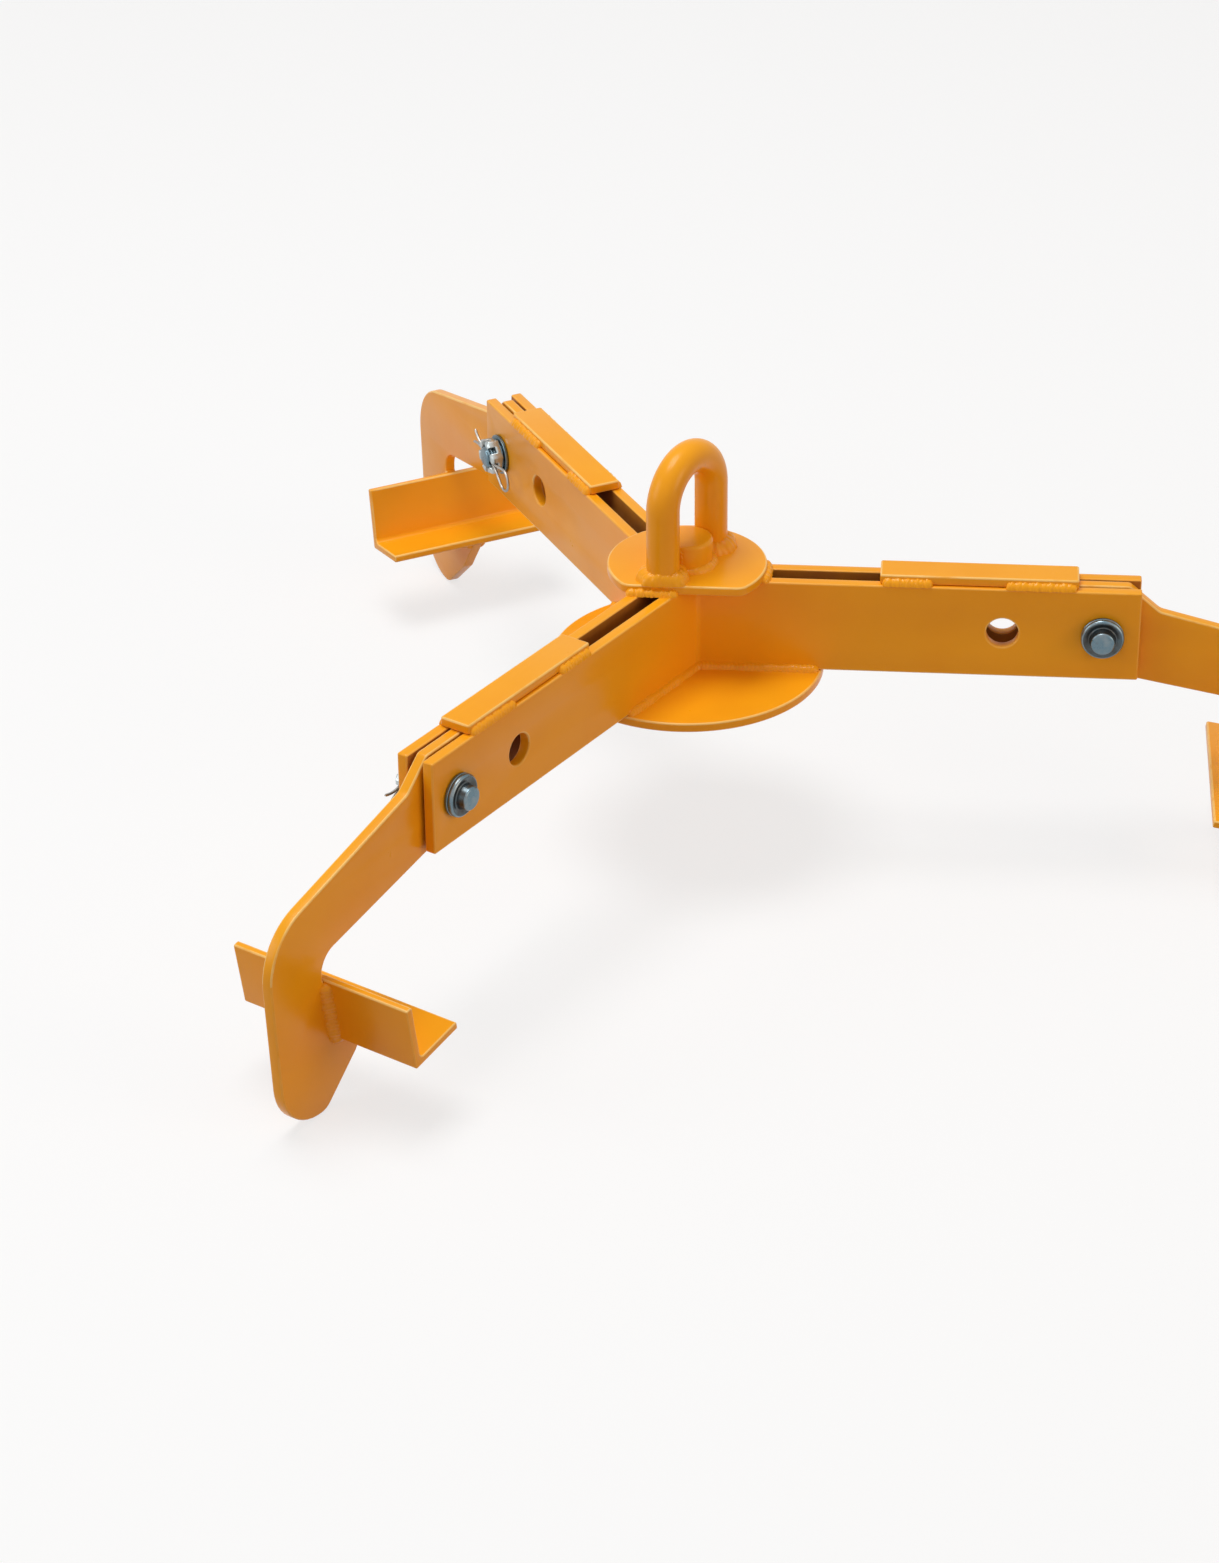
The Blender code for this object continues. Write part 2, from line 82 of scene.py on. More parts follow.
# Places read from the frame
ARMS = (1, 2, 3)
SECTOR = 2 * math.pi / len(ARMS)
PIVOT = Vector(next(j for j in frame["joints"] if j["name"] == "hook_swing_1")["pos_m"])
PLATE_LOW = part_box("side_plate_1")[0].z
PLATE_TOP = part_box("side_plate_1")[1].z
TOP_DISC_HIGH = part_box("top_disc")[1].z
BASE_DISC_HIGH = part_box("base_disc")[1].z
CAP_LOW, CAP_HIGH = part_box("cap_plate_1")
BOSS_LOW, BOSS_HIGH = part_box("eye_boss")
HOOK_LOW, HOOK_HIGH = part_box("hook_plate_1")
JAW_LOW, JAW_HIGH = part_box("rim_jaw_1")
WASHER_LOW, WASHER_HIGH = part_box("head_washer_1")

# Edges with less than this between their faces are shaded smooth
SMOOTH_BELOW = math.radians(40)

# Clearance that the solids keep between touching pieces
CLEAR = 0.0003

# A weld bead: facets across it, half the width it ends with, and its crown and root as shares of its leg
WELD_STEPS = 7
WELD_END = 0.0002
WELD_CROWN = 0.16
WELD_ROOT = 0.3

# Its ripples: points along each, how far they bow, and the mean height of their ridges
RIPPLE_POINTS = 5
RIPPLE_BOW = 0.45
RIPPLE_MEAN = 0.6

# Slow changes of its width: share of the leg, waves along a bead, and their shift for each metre of it
WELD_WANDER = ((0.06, 5, 900), (0.05, 11, 400))


def size(name, default, description):
    """A length that a user would change."""
    return bpy.props.FloatProperty(
        name=name, default=default, description=description, min=0.0, unit="LENGTH", precision=4)


def amount(name, default, description):
    """A share from 0 to 1 that a user would change."""
    return bpy.props.FloatProperty(name=name, default=default, description=description, min=0.0, max=1.0)


def tilt(name, default, description):
    """An angle that a user would change."""
    return bpy.props.FloatProperty(name=name, default=default, description=description, subtype="ANGLE")


def shade(name, default, description):
    """A colour that a user would change."""
    return bpy.props.FloatVectorProperty(
        name=name, default=default, description=description, subtype="COLOR", size=3, min=0.0, max=1.0)


class LifterPlateSizes(bpy.types.PropertyGroup):
    """Sizes of the arms, hub and caps."""

    arm_length: size("Arm length", 0.232, "From the hub's axis to the end of a side plate")
    plate_thickness: size("Plate thickness", 0.006, "Thickness of a side plate")
    slot_width: size("Slot width", 0.009, "Gap between an arm's two side plates")
    bend_radius: size("Bend radius", 0.004, "Inner radius of a side plate's bend")
    plate_edge: size("Plate edge", 0.0009, "Rounding that the enamel gives to a plate's edges")
    spare_reach: size("Spare hole reach", 0.162, "From the hub's axis to the spare pivot hole")
    spare_hole: size("Spare hole", 0.0165, "Diameter of the spare pivot hole")
    top_disc_radius: size("Top disc radius", 0.041, "Radius of the disc on top of the arms")
    top_disc_flat: size("Top disc flat", 0.028, "From the hub's axis to the disc's straight side")
    top_disc_corner: size("Top disc corner", 0.007, "Rounding at the ends of the straight side")
    base_disc_radius: size("Base disc radius", 0.071, "Radius of the disc under the arms")


class LifterEyeSizes(bpy.types.PropertyGroup):
    """Sizes of the lifting eye."""

    bar: size("Bar", 0.017, "Diameter of the eye's round bar")
    span: size("Span", 0.044, "Distance between the centres of the eye's legs")
    turn: tilt("Turn", math.radians(60), "Direction of the eye's plane")


class LifterHookSizes(bpy.types.PropertyGroup):
    """Sizes of the hook plates and jaws, measured from the pivot."""

    thickness: size("Hook thickness", HOOK_HIGH.y - HOOK_LOW.y, "Thickness of a hook plate")
    edge: size("Hook edge", 0.0009, "Rounding that the enamel gives to a hook plate's edges")
    bush: size("Bush", 0.016, "Diameter of the bush in a hook plate")
    tail_back: size("Tail back", 0.038, "From the pivot inwards to the tail's end")
    tail_front: size("Tail front", 0.013, "From the pivot outwards to the tail's upper corner")
    tail_drop: size("Tail drop", 0.023, "From the pivot down to the tail's lower corner")
    tail_corner: size("Tail corner", 0.004, "Rounding of the tail's corners")
    tail_heel: size("Tail heel", 0.008, "Rounding of the tail's lower corner, which turns in the slot")
    neck_out: size("Neck out", 0.029, "From the pivot outwards to the neck")
    neck_up: size("Neck up", 0.011, "From the pivot up to the neck")
    neck_corner: size("Neck corner", 0.008, "Rounding of the neck")
    shoulder_out: size("Shoulder out", 0.1375, "From the pivot outwards to the shoulder")
    shoulder_drop: size("Shoulder drop", 0.0178, "From the pivot down to the shoulder's corner")
    shoulder_radius: size("Shoulder radius", 0.032, "Rounding of the shoulder")
    back_taper: size("Back taper", 0.0065, "How far the back leans in between shoulder and toe")
    toe_drop: size("Toe drop", 0.129, "From the pivot down to the toe")
    toe_radius: size("Toe radius", 0.0285, "Rounding of the toe's outer corner")
    toe_back: size("Toe back", 0.100, "From the pivot outwards to the toe's inner corner")
    toe_corner: size("Toe corner", 0.010, "Rounding of the toe's inner corners")
    heel_out: size("Heel out", 0.076, "From the pivot outwards to the heel under the jaw")
    heel_drop: size("Heel drop", 0.108, "From the pivot down to the heel under the jaw")
    under_in: size("Underside in", 0.014, "From the pivot outwards to the start of the underside")
    under_drop: size("Underside drop", 0.027, "From the pivot down to the start of the underside")
    throat_drop: size("Throat drop", 0.044, "From the pivot down to the top of the throat")
    throat_radius: size("Throat radius", 0.012, "Rounding at the top of the throat")
    throat_step: size("Throat step", 0.001, "How far the throat's edge stands behind the jaw")
    jaw_length: size("Jaw length", JAW_HIGH.y - JAW_LOW.y, "Length of the angle bar")
    jaw_leg: size("Jaw leg", 0.036, "Standing leg of the angle bar")
    jaw_shelf: size("Jaw shelf", 0.033, "Lower leg of the angle bar, which goes under the rim")
    jaw_thickness: size("Jaw thickness", 0.004, "Thickness of the angle bar")
    jaw_root: size("Jaw root", 0.003, "Rounding inside the angle bar")
    jaw_tip: size("Jaw tip", 0.001, "Rounding of the angle bar's edges")
    jaw_out: size("Jaw corner out", 0.092, "From the pivot outwards to the jaw's corner")
    jaw_drop: size("Jaw corner drop", 0.092, "From the pivot down to the jaw's corner")
    jaw_tilt: tilt("Jaw tilt", math.radians(9.6), "Lean of the jaw")


class LifterBoltSizes(bpy.types.PropertyGroup):
    """Sizes of the pivot bolts, washers, nuts and split pins."""

    diameter: size("Bolt diameter", 0.012, "Shank of the pivot bolt")
    head: size("Head diameter", 0.022, "Diameter of the bolt's domed head")
    head_height: size("Head height", 0.007, "Height of the bolt's domed head")
    head_rim: size("Head rim", 0.0025, "Height of the straight rim under the dome")
    head_face: size("Head face", 0.0122, "Diameter of the raised middle of the head")
    pitch: size("Thread pitch", 0.00175, "Pitch of the bolt's thread")
    thread_depth: size("Thread depth", 0.0009, "Depth of the bolt's thread")
    past_nut: size("Past nut", 0.0008, "Length of bolt that stands past the nut")
    tip: size("Tip chamfer", 0.0012, "Chamfer at the bolt's tip")
    flats: size("Across flats", 0.018, "Across the flats of the nut")
    nut: size("Nut height", 0.0075, "Height of the castle nut")
    slot_depth: size("Slot depth", 0.004, "Depth of the slots in the nut's crown")
    slot_width: size("Slot width", 0.0038, "Width of the slots in the nut's crown")
    pin_wire: size("Pin wire", 0.0015, "Thickness of the split pin's wire")
    pin_eye: size("Pin eye", 0.006, "Radius of the split pin's eye")
    pin_neck: size("Pin neck", 0.006, "From the nut to the split pin's eye")
    pin_tail: size("Pin tail", 0.010, "Length of the split pin's legs past the nut")
    pin_spread: size("Pin spread", 0.0035, "How far each leg of the split pin is bent out")
    pin_turn: tilt("Pin turn", math.radians(-75), "Direction of the split pin's legs")


class LifterWeldSizes(bpy.types.PropertyGroup):
    """Sizes of the weld beads."""

    cap_leg: size("Cap weld", 0.0028, "Leg of the weld along a cap plate")
    cap_inner: size("Cap weld inner end", 0.126, "Where the weld at a cap's inner end stops")
    cap_outer: size("Cap weld outer start", 0.163, "Where the weld at a cap's outer end starts")
    disc_leg: size("Disc weld", 0.0030, "Leg of the weld along the top disc's edge")
    base_leg: size("Base weld", 0.0030, "Leg of the weld between base disc and side plates")
    eye_leg: size("Eye weld", 0.0052, "Leg of the weld round an eye leg")
    boss_leg: size("Boss weld", 0.0028, "Leg of the weld round the boss")
    jaw_leg: size("Jaw weld", 0.0042, "Leg of the weld between hook plate and jaw")
    ripple: size("Ripple", 0.0021, "Distance between a bead's ripples")
    depth: amount("Ripple depth", 0.075, "Depth of the ripples as a share of the leg")


class LifterLook(bpy.types.PropertyGroup):
    """Colours and gloss of the finishes."""

    enamel: shade("Enamel", (0.93, 0.385, 0.008), "Colour of the gloss enamel")
    enamel_deep: shade("Deep enamel", (0.82, 0.270, 0.006), "Enamel where it pools or is thin")
    # Painted highlight: a pale cream laid along the edges
    edge_highlight: shade("Pale enamel", (0.97, 0.70, 0.26), "Enamel where it draws thin over an edge")
    primer: shade("Primer", (0.16, 0.10, 0.07), "What shows where the enamel is chipped")
    # Painted shade: a dark red-brown laid on the faces inside the slots
    painted_shade: shade("Grime", (0.24, 0.070, 0.030), "Dull film inside the slots and round the bolt heads")
    # Painted shade: a near-black laid in the hollow ring of each bolt head
    ring_shade: shade("Oil", (0.050, 0.046, 0.040), "Old oil in the bolt heads")
    # The zinc colour is dark and blue, a painted reflection of dark blue surroundings
    zinc: shade("Zinc", (0.13, 0.205, 0.25), "Colour of the bolts' and washers' zinc plate")
    # A lighter copy of the zinc for the nuts, a painted sheen
    sheen_zinc: shade("Bright zinc", (0.50, 0.56, 0.57), "Colour of the nuts' zinc plate")
    steel: shade("Steel", (0.42, 0.40, 0.37), "Colour of the split pins and bushes")
    shine: amount("Enamel shine", 0.20, "Specular level of the enamel")
    coat: amount("Clear coat", 0.06, "Weight of the enamel's clear coat")
    gloss: amount("Enamel roughness", 0.30, "Roughness of the enamel")
    peel: amount("Orange peel", 0.08, "Strength of the enamel's orange peel")


class LifterStageSizes(bpy.types.PropertyGroup):
    """Camera, lamps and floor."""

    turn: tilt("Camera turn", math.radians(5.09), "Camera's turn about Z")
    pitch: tilt("Camera pitch", 0.5321, "Camera's angle below the horizon")
    roll: tilt("Camera roll", -0.0098, "Camera's roll")
    distance: size("Camera distance", 2.17927, "From the camera to the point it is aimed at")
    aim: bpy.props.FloatVectorProperty(
        name="Aim", default=(-0.03543, -0.06313, -0.14559), description="Point the camera is aimed at",
        size=3, unit="LENGTH")
    focal_pixels: bpy.props.FloatProperty(
        name="Focal length", default=4260.05, description="Focal length in pixels of the picture")
    floor: shade("Floor", (0.86, 0.86, 0.86), "Colour of the floor and backdrop")
    bounce: shade("Bounce", (0.46, 0.36, 0.29), "Colour of the light that the floor throws back")
    world_light: amount("World light", 0.34, "Strength of the soft light from all round")
    white_share: amount("White share", 0.72, "How far the floor and backdrop are plain white to the camera")


GROUPS = {
    "lifter_plates": LifterPlateSizes,
    "lifter_eye": LifterEyeSizes,
    "lifter_hooks": LifterHookSizes,
    "lifter_bolts": LifterBoltSizes,
    "lifter_welds": LifterWeldSizes,
    "lifter_look": LifterLook,
    "lifter_stage": LifterStageSizes,
}


class Wire:
    """A node's socket, which Python's operators join to other sockets and numbers by Math nodes."""

    def __init__(self, graph, source):
        self.graph = graph
        self.source = source

    def maths(self, operation, first, second):
        return self.graph.add("ShaderNodeMath", {"operation": operation}, [first, second])

    def __add__(self, other):
        return self.maths("ADD", self, other)

    __radd__ = __add__

    def __mul__(self, other):
        return self.maths("MULTIPLY", self, other)

    __rmul__ = __mul__

    def __sub__(self, other):
        return self.maths("SUBTRACT", self, other)

    def __rsub__(self, other):
        return self.maths("SUBTRACT", other, self)

    def clamp(self):
        return self.graph.add("ShaderNodeClamp", {}, {"Value": self})

    def between(self, low, high):
        """0 below low, 1 above high, smooth between them."""
        values = {"Value": self, "From Min": low, "From Max": high}
        return self.graph.add("ShaderNodeMapRange", {"interpolation_type": "SMOOTHSTEP"}, values)


class Graph:
    """The node tree of a material or the world, with one method that adds any node."""

    def __init__(self, owner, shader="Principled BSDF"):
        owner.use_nodes = True
        self.owner = owner
        self.tree = owner.node_tree
        self.shader = self.tree.nodes[shader]

    def put(self, socket, value):
        if isinstance(value, Wire):
            self.tree.links.new(value.source, socket)
        elif hasattr(value, "__len__") and len(value) == 3 and socket.type == "RGBA":
            socket.default_value = (*value, 1.0)
        else:
            socket.default_value = value

    def add(self, kind, settings, inputs, output=0):
        node = self.tree.nodes.new(kind)
        for key, value in settings.items():
            setattr(node, key, value)
        pairs = enumerate(inputs) if isinstance(inputs, (list, tuple)) else inputs.items()
        for key, value in pairs:
            self.put(node.inputs[key], value)
        return Wire(self, node.outputs[output])

    def set(self, **inputs):
        for key, value in inputs.items():
            self.put(self.shader.inputs[key.replace("_", " ")], value)

    def noise(self, where, scale, detail=3.0, rough=0.5, distortion=0.0):
        values = {
            "Vector": where, "Scale": scale, "Detail": detail, "Roughness": rough, "Distortion": distortion}
        return self.add("ShaderNodeTexNoise", {"noise_dimensions": "3D"}, values)

    def mix(self, share, first, second):
        return self.add("ShaderNodeMix", {"data_type": "RGBA"}, {0: share, 6: first, 7: second}, 2)

    def bump(self, height, strength, distance, normal=None):
        values = {"Height": height, "Strength": strength, "Distance": distance}
        if normal is not None:
            values["Normal"] = normal
        return self.add("ShaderNodeBump", {}, values)

    def attribute(self, name):
        """A value that the mesh keeps on its faces."""
        return self.add("ShaderNodeAttribute", {"attribute_name": name}, {}, "Fac")

    def seen(self):
        """1 where the camera looks, straight or by way of gloss or glass, and 0 for plain light."""
        kinds = ("Camera", "Glossy", "Transmission")
        camera, gloss, glass = (self.add("ShaderNodeLightPath", {}, {}, f"Is {kind} Ray") for kind in kinds)
        return (camera + gloss + glass).clamp()

    def where(self):
        """Position on the piece at rest, in metres."""
        return self.add("ShaderNodeTexCoord", {}, {}, "Object")

    def stretch(self, where, factors):
        """The position with its axes scaled apart, for marks that run one way."""
        return self.add("ShaderNodeVectorMath", {"operation": "MULTIPLY"}, [where, factors])


def enamel(name, peel=1.0, rub=None):
    """Gloss enamel: orange peel, sags, slow colour changes, specks, painted shade in the slots, and a
    painted highlight and chips along the edges.

    rub gives the centre, full radius and outer radius of a place that is worn bare.
    """
    look = bpy.context.scene.lifter_look
    g = Graph(bpy.data.materials.new(name))
    where = g.where()
    cloud = g.noise(where, 14, 2)
    patch = g.noise(where, 55, 4, 0.6)
    fine = g.noise(where, 900, 2)
    peel_height = g.noise(where, 260, 2, 0.45)
    sag = g.noise(where, 38, 1)
    edge = g.attribute("edge")
    # Painted shade on the faces marked inside the slots
    painted_shade = g.attribute("painted_shade") * (0.66 + (patch - 0.5) * 0.5)

    pooled = (cloud - 0.42) * 1.6 + (patch - 0.5) * 0.4
    colour = g.mix(pooled.clamp() * 0.62, look.enamel, look.enamel_deep)
    # Painted highlight along the marked edges
    colour = g.mix(edge * patch.between(0.20, 0.55) * 0.62, colour, look.edge_highlight)
    specks = fine.between(0.76, 0.82) * patch.between(0.55, 0.7)
    colour = g.mix(specks * 0.16, colour, look.primer)

    chip_noise = g.noise(where, 420, 3, 0.7)
    chips = edge * chip_noise.between(0.72, 0.76) * g.noise(where, 33, 2).between(0.62, 0.70)
    if rub is not None:
        centre, near, far = rub
        offset = g.add("ShaderNodeVectorMath", {"operation": "DISTANCE"}, [where, centre], "Value")
        scratches = g.noise(g.stretch(where, (1, 1, 0.3)), 700, 4, 0.7).between(0.50, 0.66)
        chips = (chips + (1 - offset.between(near, far)) * scratches * 0.5).clamp()
    bare = g.mix(g.noise(where, 300, 3).between(0.35, 0.65), look.primer, look.steel)
    colour = g.mix(chips, colour, bare)
    colour = g.mix(painted_shade.clamp(), colour, look.painted_shade)

    rough = look.gloss + (patch - 0.5) * 0.12 + chips * 0.25 + specks * 0.1 + painted_shade * 0.35
    normal = g.bump(sag, 0.12, 0.0010)
    normal = g.bump(peel_height, look.peel * peel, 0.0003, normal)
    normal = g.bump(1 - chips, 0.4, 0.0002, normal)
    g.set(Base_Color=colour, Roughness=rough.clamp(), Metallic=chips * 0.6, Normal=normal)
    g.set(Coat_Weight=(1 - chips) * look.coat)
    g.set(Coat_Roughness=0.10, IOR=1.5, Specular_IOR_Level=look.shine)
    return g.owner


def zinc(name, plating):
    """Zinc plate: faint blue clouds, fine pits, patches dulled by handling, and painted shade on the marked
    faces of a bolt head's hollow ring.
    """
    look = bpy.context.scene.lifter_look
    g = Graph(bpy.data.materials.new(name))
    where = g.where()
    cloud = g.noise(where, 130, 3, 0.6)
    pits = g.noise(where, 2400, 2)
    handled = g.noise(where, 420, 4, 0.65, 0.4)
    warm = g.mix(0.35, plating, look.steel)
    colour = g.mix(cloud.between(0.35, 0.70), plating, warm)
    colour = g.mix(handled.between(0.60, 0.72) * 0.5, colour, look.primer)
    # Painted shade in the hollow ring of a bolt head
    colour = g.mix(g.attribute("painted_shade") * (0.55 + cloud.between(0.3, 0.7) * 0.4), colour, look.ring_shade)
    rough = 0.30 + (cloud - 0.5) * 0.25 + handled.between(0.55, 0.75) * 0.15
    normal = g.bump(pits, 0.18, 0.0001)
    normal = g.bump(cloud, 0.15, 0.0004, normal)
    g.set(Base_Color=colour, Roughness=rough.clamp(), Normal=normal, Metallic=0.92)
    return g.owner


def plain_steel(name):
    """Drawn steel of the split pins and bushes, with fine lines and a little grease."""
    look = bpy.context.scene.lifter_look
    g = Graph(bpy.data.materials.new(name))
    where = g.where()
    drawn = g.noise(g.stretch(where, (1, 1, 6)), 900, 3, 0.6)
    grease = g.noise(where, 180, 3)
    colour = g.mix(grease.between(0.5, 0.75) * 0.6, look.steel, look.primer)
    rough = 0.34 + (drawn - 0.5) * 0.25
    g.set(Base_Color=colour, Roughness=rough.clamp(), Normal=g.bump(drawn, 0.2, 0.0001), Metallic=0.9)
    return g.owner


def floor_finish(name):
    """A pale matt floor, near white to the camera with its shadows kept, that bounces warm light."""
    stage = bpy.context.scene.lifter_stage
    g = Graph(bpy.data.materials.new(name))
    grain = g.noise(g.where(), 60, 3)
    seen = g.seen()
    dust = (0.80, 0.81, 0.82)
    colour = g.mix(grain.between(0.2, 0.8) * 0.02, stage.floor, dust)
    g.set(Base_Color=g.mix(seen, stage.bounce, colour), Roughness=0.85)
    white = g.add("ShaderNodeEmission", {}, {"Color": (1.0, 1.0, 1.0), "Strength": 1.0})
    lit = Wire(g, g.shader.outputs[0])
    mixed = g.add("ShaderNodeMixShader", {}, {0: seen * stage.white_share, 1: lit, 2: white})
    g.put(g.tree.nodes["Material Output"].inputs["Surface"], mixed)
    return g.owner


MATERIALS = {}


def finish(kind):
    """The named finish, made once."""
    makers = {
        "enamel": lambda: enamel("gloss_enamel"),
        "weld_enamel": lambda: enamel("weld_enamel", 1.6),
        "eye_enamel": lambda: enamel("eye_enamel", 1.0, ((0.0, 0.0, 0.0), 0.004, 0.015)),
        "zinc": lambda: zinc("zinc_plate", bpy.context.scene.lifter_look.zinc),
        "sheen_zinc": lambda: zinc("sheen_zinc_plate", bpy.context.scene.lifter_look.sheen_zinc),
        "steel": lambda: plain_steel("drawn_steel"),
        "floor": lambda: floor_finish("pale_floor"),
    }
    if kind not in MATERIALS:
        MATERIALS[kind] = makers[kind]()
    return MATERIALS[kind]


def arm_place(arm):
    """Placement of an arm: +X outwards along it, origin on the hub's axis."""
    return Matrix.Rotation((arm - 1) * SECTOR, 4, "Z")


def pivot_place(arm):
    """Placement of an arm's pivot."""
    return arm_place(arm) @ Matrix.Translation(PIVOT)


def head_side(arm):
    """Which side of its arm a bolt's head is on: 1 is counter-clockwise, seen from above."""
    low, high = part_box(f"head_washer_{arm}")
    across = arm_place(arm).inverted() @ ((low + high) / 2)
    return 1 if across.y > 0 else -1


def bolt_place(arm):
    """Placement of an arm's fasteners: +Z points at the bolt's head, +Y at the split pin's legs."""
    facing = Matrix.Rotation(-head_side(arm) * math.pi / 2, 4, "X")
    return pivot_place(arm) @ facing @ Matrix.Rotation(bpy.context.scene.lifter_bolts.pin_turn, 4, "Z")


# An edge face whose normal rises more than this faces up, and the share of painted edge highlight and of
# chips on the others
FACES_UP = 0.05
HIGHLIGHT_AND_CHIPS_BELOW = 0.3


def show(name, mesh, place, kind, body, nodes=()):
    """Links a mesh as a piece in world coordinates that rides on a body."""
    mesh.transform(place)
    edge = mesh.attributes.get("edge")
    if edge:
        # The painted highlight and the chips are full on an edge that faces up, where light falls, and
        # weaker on one that faces down
        for face, mark in zip(mesh.polygons, edge.data):
            mark.value *= 1.0 if face.normal.z > FACES_UP else HIGHLIGHT_AND_CHIPS_BELOW
    mesh.shade_smooth()
    mesh.set_sharp_from_angle(angle=SMOOTH_BELOW)
    obj = bpy.data.objects.new(name, mesh)
    bpy.context.scene.collection.objects.link(obj)
    mesh.name = name
    mesh.materials.clear()
    mesh.materials.append(finish(kind))
    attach(obj, body)
    if nodes:
        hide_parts(*nodes)


def dress(node, mesh, place, kind, body, coat="enamelled"):
    """Shows a mesh in place of one of the frame's nodes."""
    show(f"{node}_{coat}", mesh, place, kind, body, [node])


def mark_edges(bm, narrow=0.0):
    """Marks a plate's rounded edge faces, and its upright faces slimmer than narrow, for the enamel's
    painted edge highlight and its chips.
    """
    upright, flat = 0.06, 0.985
    layer = bm.faces.layers.float.new("edge")
    for face in bm.faces:
        lean = abs(face.normal.z)
        slim = lean < upright and min(edge.calc_length() for edge in face.edges) < narrow
        face[layer] = 1.0 if slim or upright < lean < flat else 0.0


def mark_painted_shade(bm, dirty):
    """Marks the faces that a test picks, so that the finish is dull and darkened there by painted shade."""
    layer = bm.faces.layers.float.new("painted_shade")
    for face in bm.faces:
        face[layer] = 1.0 if dirty(face) else 0.0


def arc(centre, radius, start, stop, steps):
    """Points along an arc, both ends included."""
    turns = [start + (stop - start) * i / steps for i in range(steps + 1)]
    return [(centre[0] + radius * math.cos(a), centre[1] + radius * math.sin(a)) for a in turns]


def circle(radius, sides, centre=(0, 0)):
    """Points round a circle."""
    return arc(centre, radius, 0, 2 * math.pi, sides)[:-1]


def rounded(corners, steps=12):
    """A closed outline through corners given as (across, up, fillet radius)."""
    count = len(corners)
    edges = []
    trims = []
    for i, (x, y, radius) in enumerate(corners):
        before = Vector(corners[i - 1][:2]) - Vector((x, y))
        after = Vector(corners[(i + 1) % count][:2]) - Vector((x, y))
        edges.append((before, after))
        trims.append(radius / math.tan(before.angle(after) / 2))
    outline = []
    for i, (before, after) in enumerate(edges):
        here = Vector(corners[i][:2])
        if trims[i] <= 0:
            outline.append(tuple(here))
            continue
        # Two fillets that meet on one edge share its length
        first_share = before.length / (trims[i] + trims[i - 1])
        last_share = after.length / (trims[i] + trims[(i + 1) % count])
        trim = trims[i] * min(1, first_share, last_share)
        half = before.angle(after) / 2
        fillet = trim * math.tan(half)
        middle = (before.normalized() + after.normalized()).normalized()
        centre = here + middle * (fillet / math.sin(half))
        first = here + before.normalized() * trim - centre
        last = here + after.normalized() * trim - centre
        start = math.atan2(first.y, first.x)
        sweep = math.atan2(first.x * last.y - first.y * last.x, first.dot(last))
        outline.extend(arc(centre, fillet, start, start + sweep, steps))
    return outline


def rectangle(low, high, corner):
    """The outline of a rectangle between two corners, its own corners rounded."""
    return rounded([(low[0], low[1], corner), (high[0], low[1], corner),
                    (high[0], high[1], corner), (low[0], high[1], corner)], 4)


def plate(outline, thickness, edge, holes=(), narrow=0.0):
    """A flat plate with rounded edges, from its outline and round holes (x, y, radius), centred on z = 0."""
    curve = bpy.data.curves.new("plate_outline", "CURVE")
    curve.dimensions = "2D"
    curve.fill_mode = "BOTH"
    curve.extrude = thickness / 2 - edge
    curve.bevel_depth = edge
    curve.bevel_resolution = 3
    curve.offset = -edge
    for loop in (outline, *(circle(radius, 48, (x, y)) for x, y, radius in holes)):
        spline = curve.splines.new("POLY")
        spline.points.add(len(loop) - 1)
        for point, (x, y) in zip(spline.points, loop):
            point.co = (x, y, 0, 1)
        spline.use_cyclic_u = True
    holder = bpy.data.objects.new("plate_outline", curve)
    bpy.context.scene.collection.objects.link(holder)
    bpy.context.view_layer.update()
    mesh = bpy.data.meshes.new_from_object(holder.evaluated_get(bpy.context.evaluated_depsgraph_get()))
    bpy.data.objects.remove(holder)
    bpy.data.curves.remove(curve)
    bm = bmesh.new()
    bm.from_mesh(mesh)
    bpy.data.meshes.remove(mesh)
    bmesh.ops.remove_doubles(bm, verts=bm.verts, dist=1e-6)
    bmesh.ops.recalc_face_normals(bm, faces=bm.faces)
    mark_edges(bm, narrow)
    return bm


def to_mesh(bm):
    """Turns a bmesh into mesh data."""
    mesh = bpy.data.meshes.new("piece")
    bm.to_mesh(mesh)
    bm.free()
    return mesh


def skin(bm, loops, closed):
    """Faces over a row of loops, with a cap at each end unless the row is closed."""
    pairs = list(zip(loops, loops[1:]))
    if closed:
        pairs.append((loops[-1], loops[0]))
    faces = []
    for lower, upper in pairs:
        for i in range(len(lower)):
            j = (i + 1) % len(lower)
            faces.append(bm.faces.new((lower[i], lower[j], upper[j], upper[i])))
    if not closed:
        faces += [bm.faces.new(loops[0]), bm.faces.new(loops[-1])]
    bmesh.ops.recalc_face_normals(bm, faces=faces)


def turned(rings, sides=48, hollow=False):
    """A body turned about Z from rings of (height, radius or function of the angle, across flats if any)."""
    bm = bmesh.new()
    loops = []
    for height, radius, *flats in rings:
        loop = []
        for i in range(sides):
            angle = 2 * math.pi * i / sides
            reach = radius(angle) if callable(radius) else radius
            if flats:
                reach = min(reach, flats[0] / 2 / math.cos(angle % (math.pi / 3) - math.pi / 6))
            loop.append(bm.verts.new((reach * math.cos(angle), reach * math.sin(angle), height)))
        loops.append(loop)
    skin(bm, loops, hollow)
    return bm


